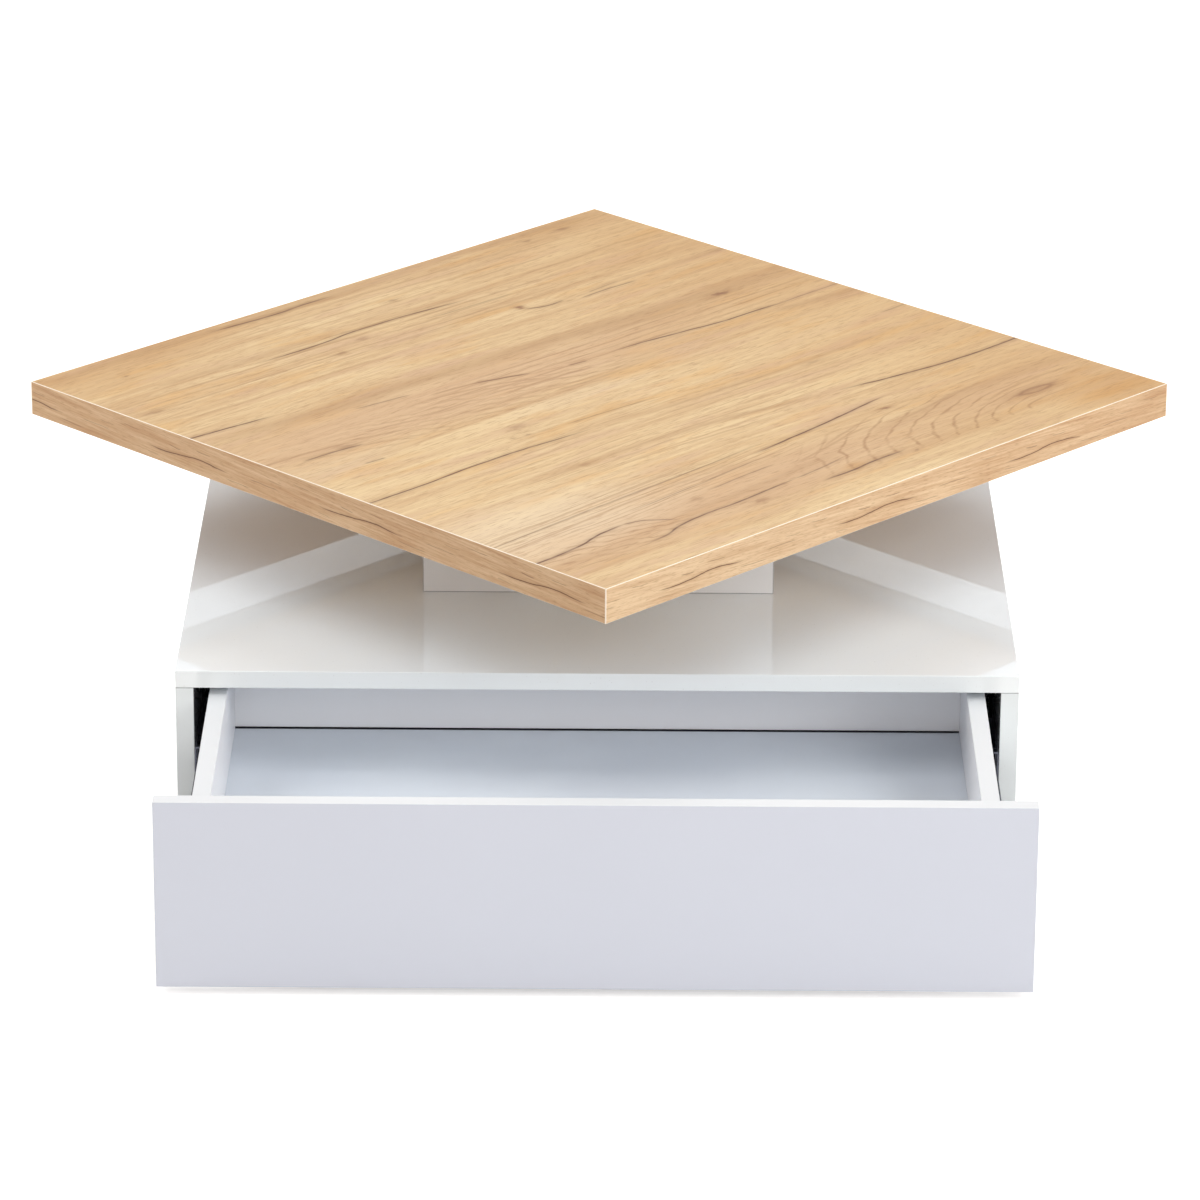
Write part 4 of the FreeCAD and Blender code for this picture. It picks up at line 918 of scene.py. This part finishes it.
class SWIVELTABLE_OT_top(bpy.types.Operator):
    """Oak print on the board and on its four edge strips"""
    bl_idname = "swiveltable.top"
    bl_label = "Top"

    # Which way each strip's print runs, where one of its long cracks begins, and its tones, which on the two
    # front strips are partly print and partly painted light and shade: lighter on the strip that faces the
    # right front softbox, darker on the other.
    STRIPS = {
        "edge_band_front_right": ((1, 0), -290.0, (0.82, 0.36)),
        "edge_band_front_left": ((0, -1), -197.5, (0.34, 0.38)),
        "edge_band_back_left": ((-1, 0), -240.0, (0.50, 0.50)),
        "edge_band_back_right": ((0, 1), -150.0, (0.50, 0.50)),
    }

    def execute(self, context):
        settings = context.scene.swiveltable_oak
        dress(oak_print(settings), ["top_board"])
        for node, (direction, start, tones) in self.STRIPS.items():
            dress(edge_strip("printed_" + node, direction, start, tones, settings), [node])
        return {"FINISHED"}


class SWIVELTABLE_OT_boards(bpy.types.Operator):
    """White gloss and satin boards"""
    bl_idname = "swiveltable.boards"
    bl_label = "White boards"

    def execute(self, context):
        white = context.scene.swiveltable_white
        dress(gloss_foil("white_gloss_foil", white.gloss, white.gloss_front_painted_shade, white),
              ["cabinet_top", "cabinet_back", "cabinet_bottom"])
        # The side panels take darker copies of the gloss white: painted shade.
        under_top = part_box("cabinet_side_left")[1].z * PER_METRE
        dress(gloss_foil("white_gloss_side_foil", white.gloss_wall_painted_shade, white.gloss_side_painted_shade, white, under_top),
              ["cabinet_side_left", "cabinet_side_right"])
        dress(pedestal_foil(white), [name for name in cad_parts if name.startswith("pedestal_")
                                     and not name.endswith("_screws")])
        edge, satin = white.top_edge, white.satin
        # The drawer front's face takes the darker front white, which is painted shade.
        dress(satin_foil("white_matt_front_foil", edge, edge, white.front, edge), ["drawer_front"])
        # The tops of the drawer's sides take a darker copy of the satin white: painted shade.
        dress(satin_foil("white_satin_melamine", satin, white.satin_shade, satin, white.satin_top_painted_shade),
              [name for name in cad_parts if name.startswith("rim_strip")]
              + ["drawer_side_left", "drawer_side_right", "drawer_back"])
        dress(lacquered_hardboard(white), ["drawer_bottom"])
        return {"FINISHED"}


class SWIVELTABLE_OT_slides(bpy.types.Operator):
    """Rolled steel members of the two drawer slides, with slots and screw holes stamped in their webs"""
    bl_idname = "swiveltable.slides"
    bl_label = "Slides"

    HOOK = 0.0040                   # height of the cabinet member's turned-in lips
    LIP = 0.0016                    # height of the drawer member's turned-up lips
    SCREWS = (0.040, 0.175, 0.310)  # from a member's front end
    SLOTS = (0.1075, 0.2425)

    def execute(self, context):
        settings = context.scene.swiveltable_slides
        metal = context.scene.swiveltable_metal
        # The slides' zinc is darkened as painted shade for the gaps that they sit in.
        zinc = zinc_plate("zinc_plated_steel_in_painted_shade", metal.slide, metal.slide_shade)
        low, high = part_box("slide_cabinet_member_right")
        bay, level = high.x, (low.z + high.z) / 2
        tip, edge = high.x - low.x, (high.z - low.z) / 2
        fold = settings.bend
        cabinet = [(tip, edge - self.HOOK, 0), (tip, edge, fold), (0, edge, fold),
                   (0, -edge, fold), (tip, -edge, fold), (tip, self.HOOK - edge, 0)]
        low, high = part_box("slide_drawer_member_right")
        back, lip = bay - low.x, bay - high.x + settings.sheet
        edge = (high.z - low.z) / 2
        race = edge - self.LIP
        drawer = [(lip, -edge, 0), (lip, -race, settings.lip_bend), (back, -race, fold),
                  (back, race, fold), (lip, race, settings.lip_bend), (lip, edge, 0)]
        for body, section in (("cabinet", cabinet), ("drawer", drawer)):
            for side, hand in (("left", -1), ("right", 1)):
                node = f"slide_{body}_member_{side}"
                front, rear = (corner.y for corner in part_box(node))
                height = settings.slot_height
                openings = [(front + along, height, height) for along in self.SCREWS]
                openings += [(front + along, settings.slot_length, height) for along in self.SLOTS]
                form = rolled_channel(section, (front, rear), settings.sheet, openings)
                bmesh.ops.scale(form, verts=form.verts, vec=(-hand, 1, 1))
                bmesh.ops.translate(form, verts=form.verts, vec=(hand * bay, 0, level))
                place_piece(form, "rolled_" + node, zinc, body, node)
        dress(zinc, ["slide_cage_left", "slide_cage_right", "slide_cabinet_screws", "slide_drawer_screws"])
        return {"FINISHED"}


class SWIVELTABLE_OT_fittings(bpy.types.Operator):
    """Ring bearing, balls, screws, cam locks, dowels, blocks and glides"""
    bl_idname = "swiveltable.fittings"
    bl_label = "Fittings"

    def execute(self, context):
        metal = context.scene.swiveltable_metal
        fittings = context.scene.swiveltable_fittings
        nodes = list(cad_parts)
        dress(zinc_plate("zinc_plated_steel", metal.zinc, metal.zinc_warm),
              [name for name in nodes if name.endswith(("_screws", "_cams", "_cam_bolts"))])
        dress(polished_steel(metal), [name for name in nodes if "balls" in name])
        dress(turned_aluminium(metal), ["bearing_lower_ring", "bearing_upper_ring"])
        dress(planed_beech(fittings), ["corner_blocks", "cabinet_dowels", "drawer_dowels"])
        dress(moulded_plastic("moulded_nylon", fittings.nylon, fittings.nylon_shade, 0.45),
              ["bearing_cage"])
        dress(moulded_plastic("moulded_polythene", fittings.glide, fittings.glide_shade, 0.50),
              ["floor_glides"])
        return {"FINISHED"}


class SWIVELTABLE_PT_panel(bpy.types.Panel):
    """Buttons for the operators that dress the table and set its stage"""
    bl_idname = "SWIVELTABLE_PT_panel"
    bl_label = "Swivel Table"
    bl_space_type = "VIEW_3D"
    bl_region_type = "UI"
    bl_category = "Swivel Table"

    def draw(self, context):
        for operator in OPERATORS:
            self.layout.operator(operator.bl_idname)


SETTINGS = {
    "swiveltable_oak": OakSettings,
    "swiveltable_white": WhiteSettings,
    "swiveltable_metal": MetalSettings,
    "swiveltable_fittings": FittingSettings,
    "swiveltable_slides": SlideSettings,
    "swiveltable_stage": StageSettings,
}
OPERATORS = [SWIVELTABLE_OT_stage, SWIVELTABLE_OT_top, SWIVELTABLE_OT_boards, SWIVELTABLE_OT_slides,
             SWIVELTABLE_OT_fittings]


def register():
    for name, group in SETTINGS.items():
        bpy.utils.register_class(group)
        setattr(bpy.types.Scene, name, PointerProperty(type=group))
    for kind in OPERATORS + [SWIVELTABLE_PT_panel]:
        bpy.utils.register_class(kind)


def unregister():
    for kind in [SWIVELTABLE_PT_panel] + OPERATORS[::-1]:
        bpy.utils.unregister_class(kind)
    for name, group in SETTINGS.items():
        delattr(bpy.types.Scene, name)
        bpy.utils.unregister_class(group)


def main():
    register()
    bpy.ops.swiveltable.stage()
    bpy.ops.swiveltable.top()
    bpy.ops.swiveltable.boards()
    bpy.ops.swiveltable.fittings()
    bpy.ops.swiveltable.slides()


if __name__ == "__main__":
    main()
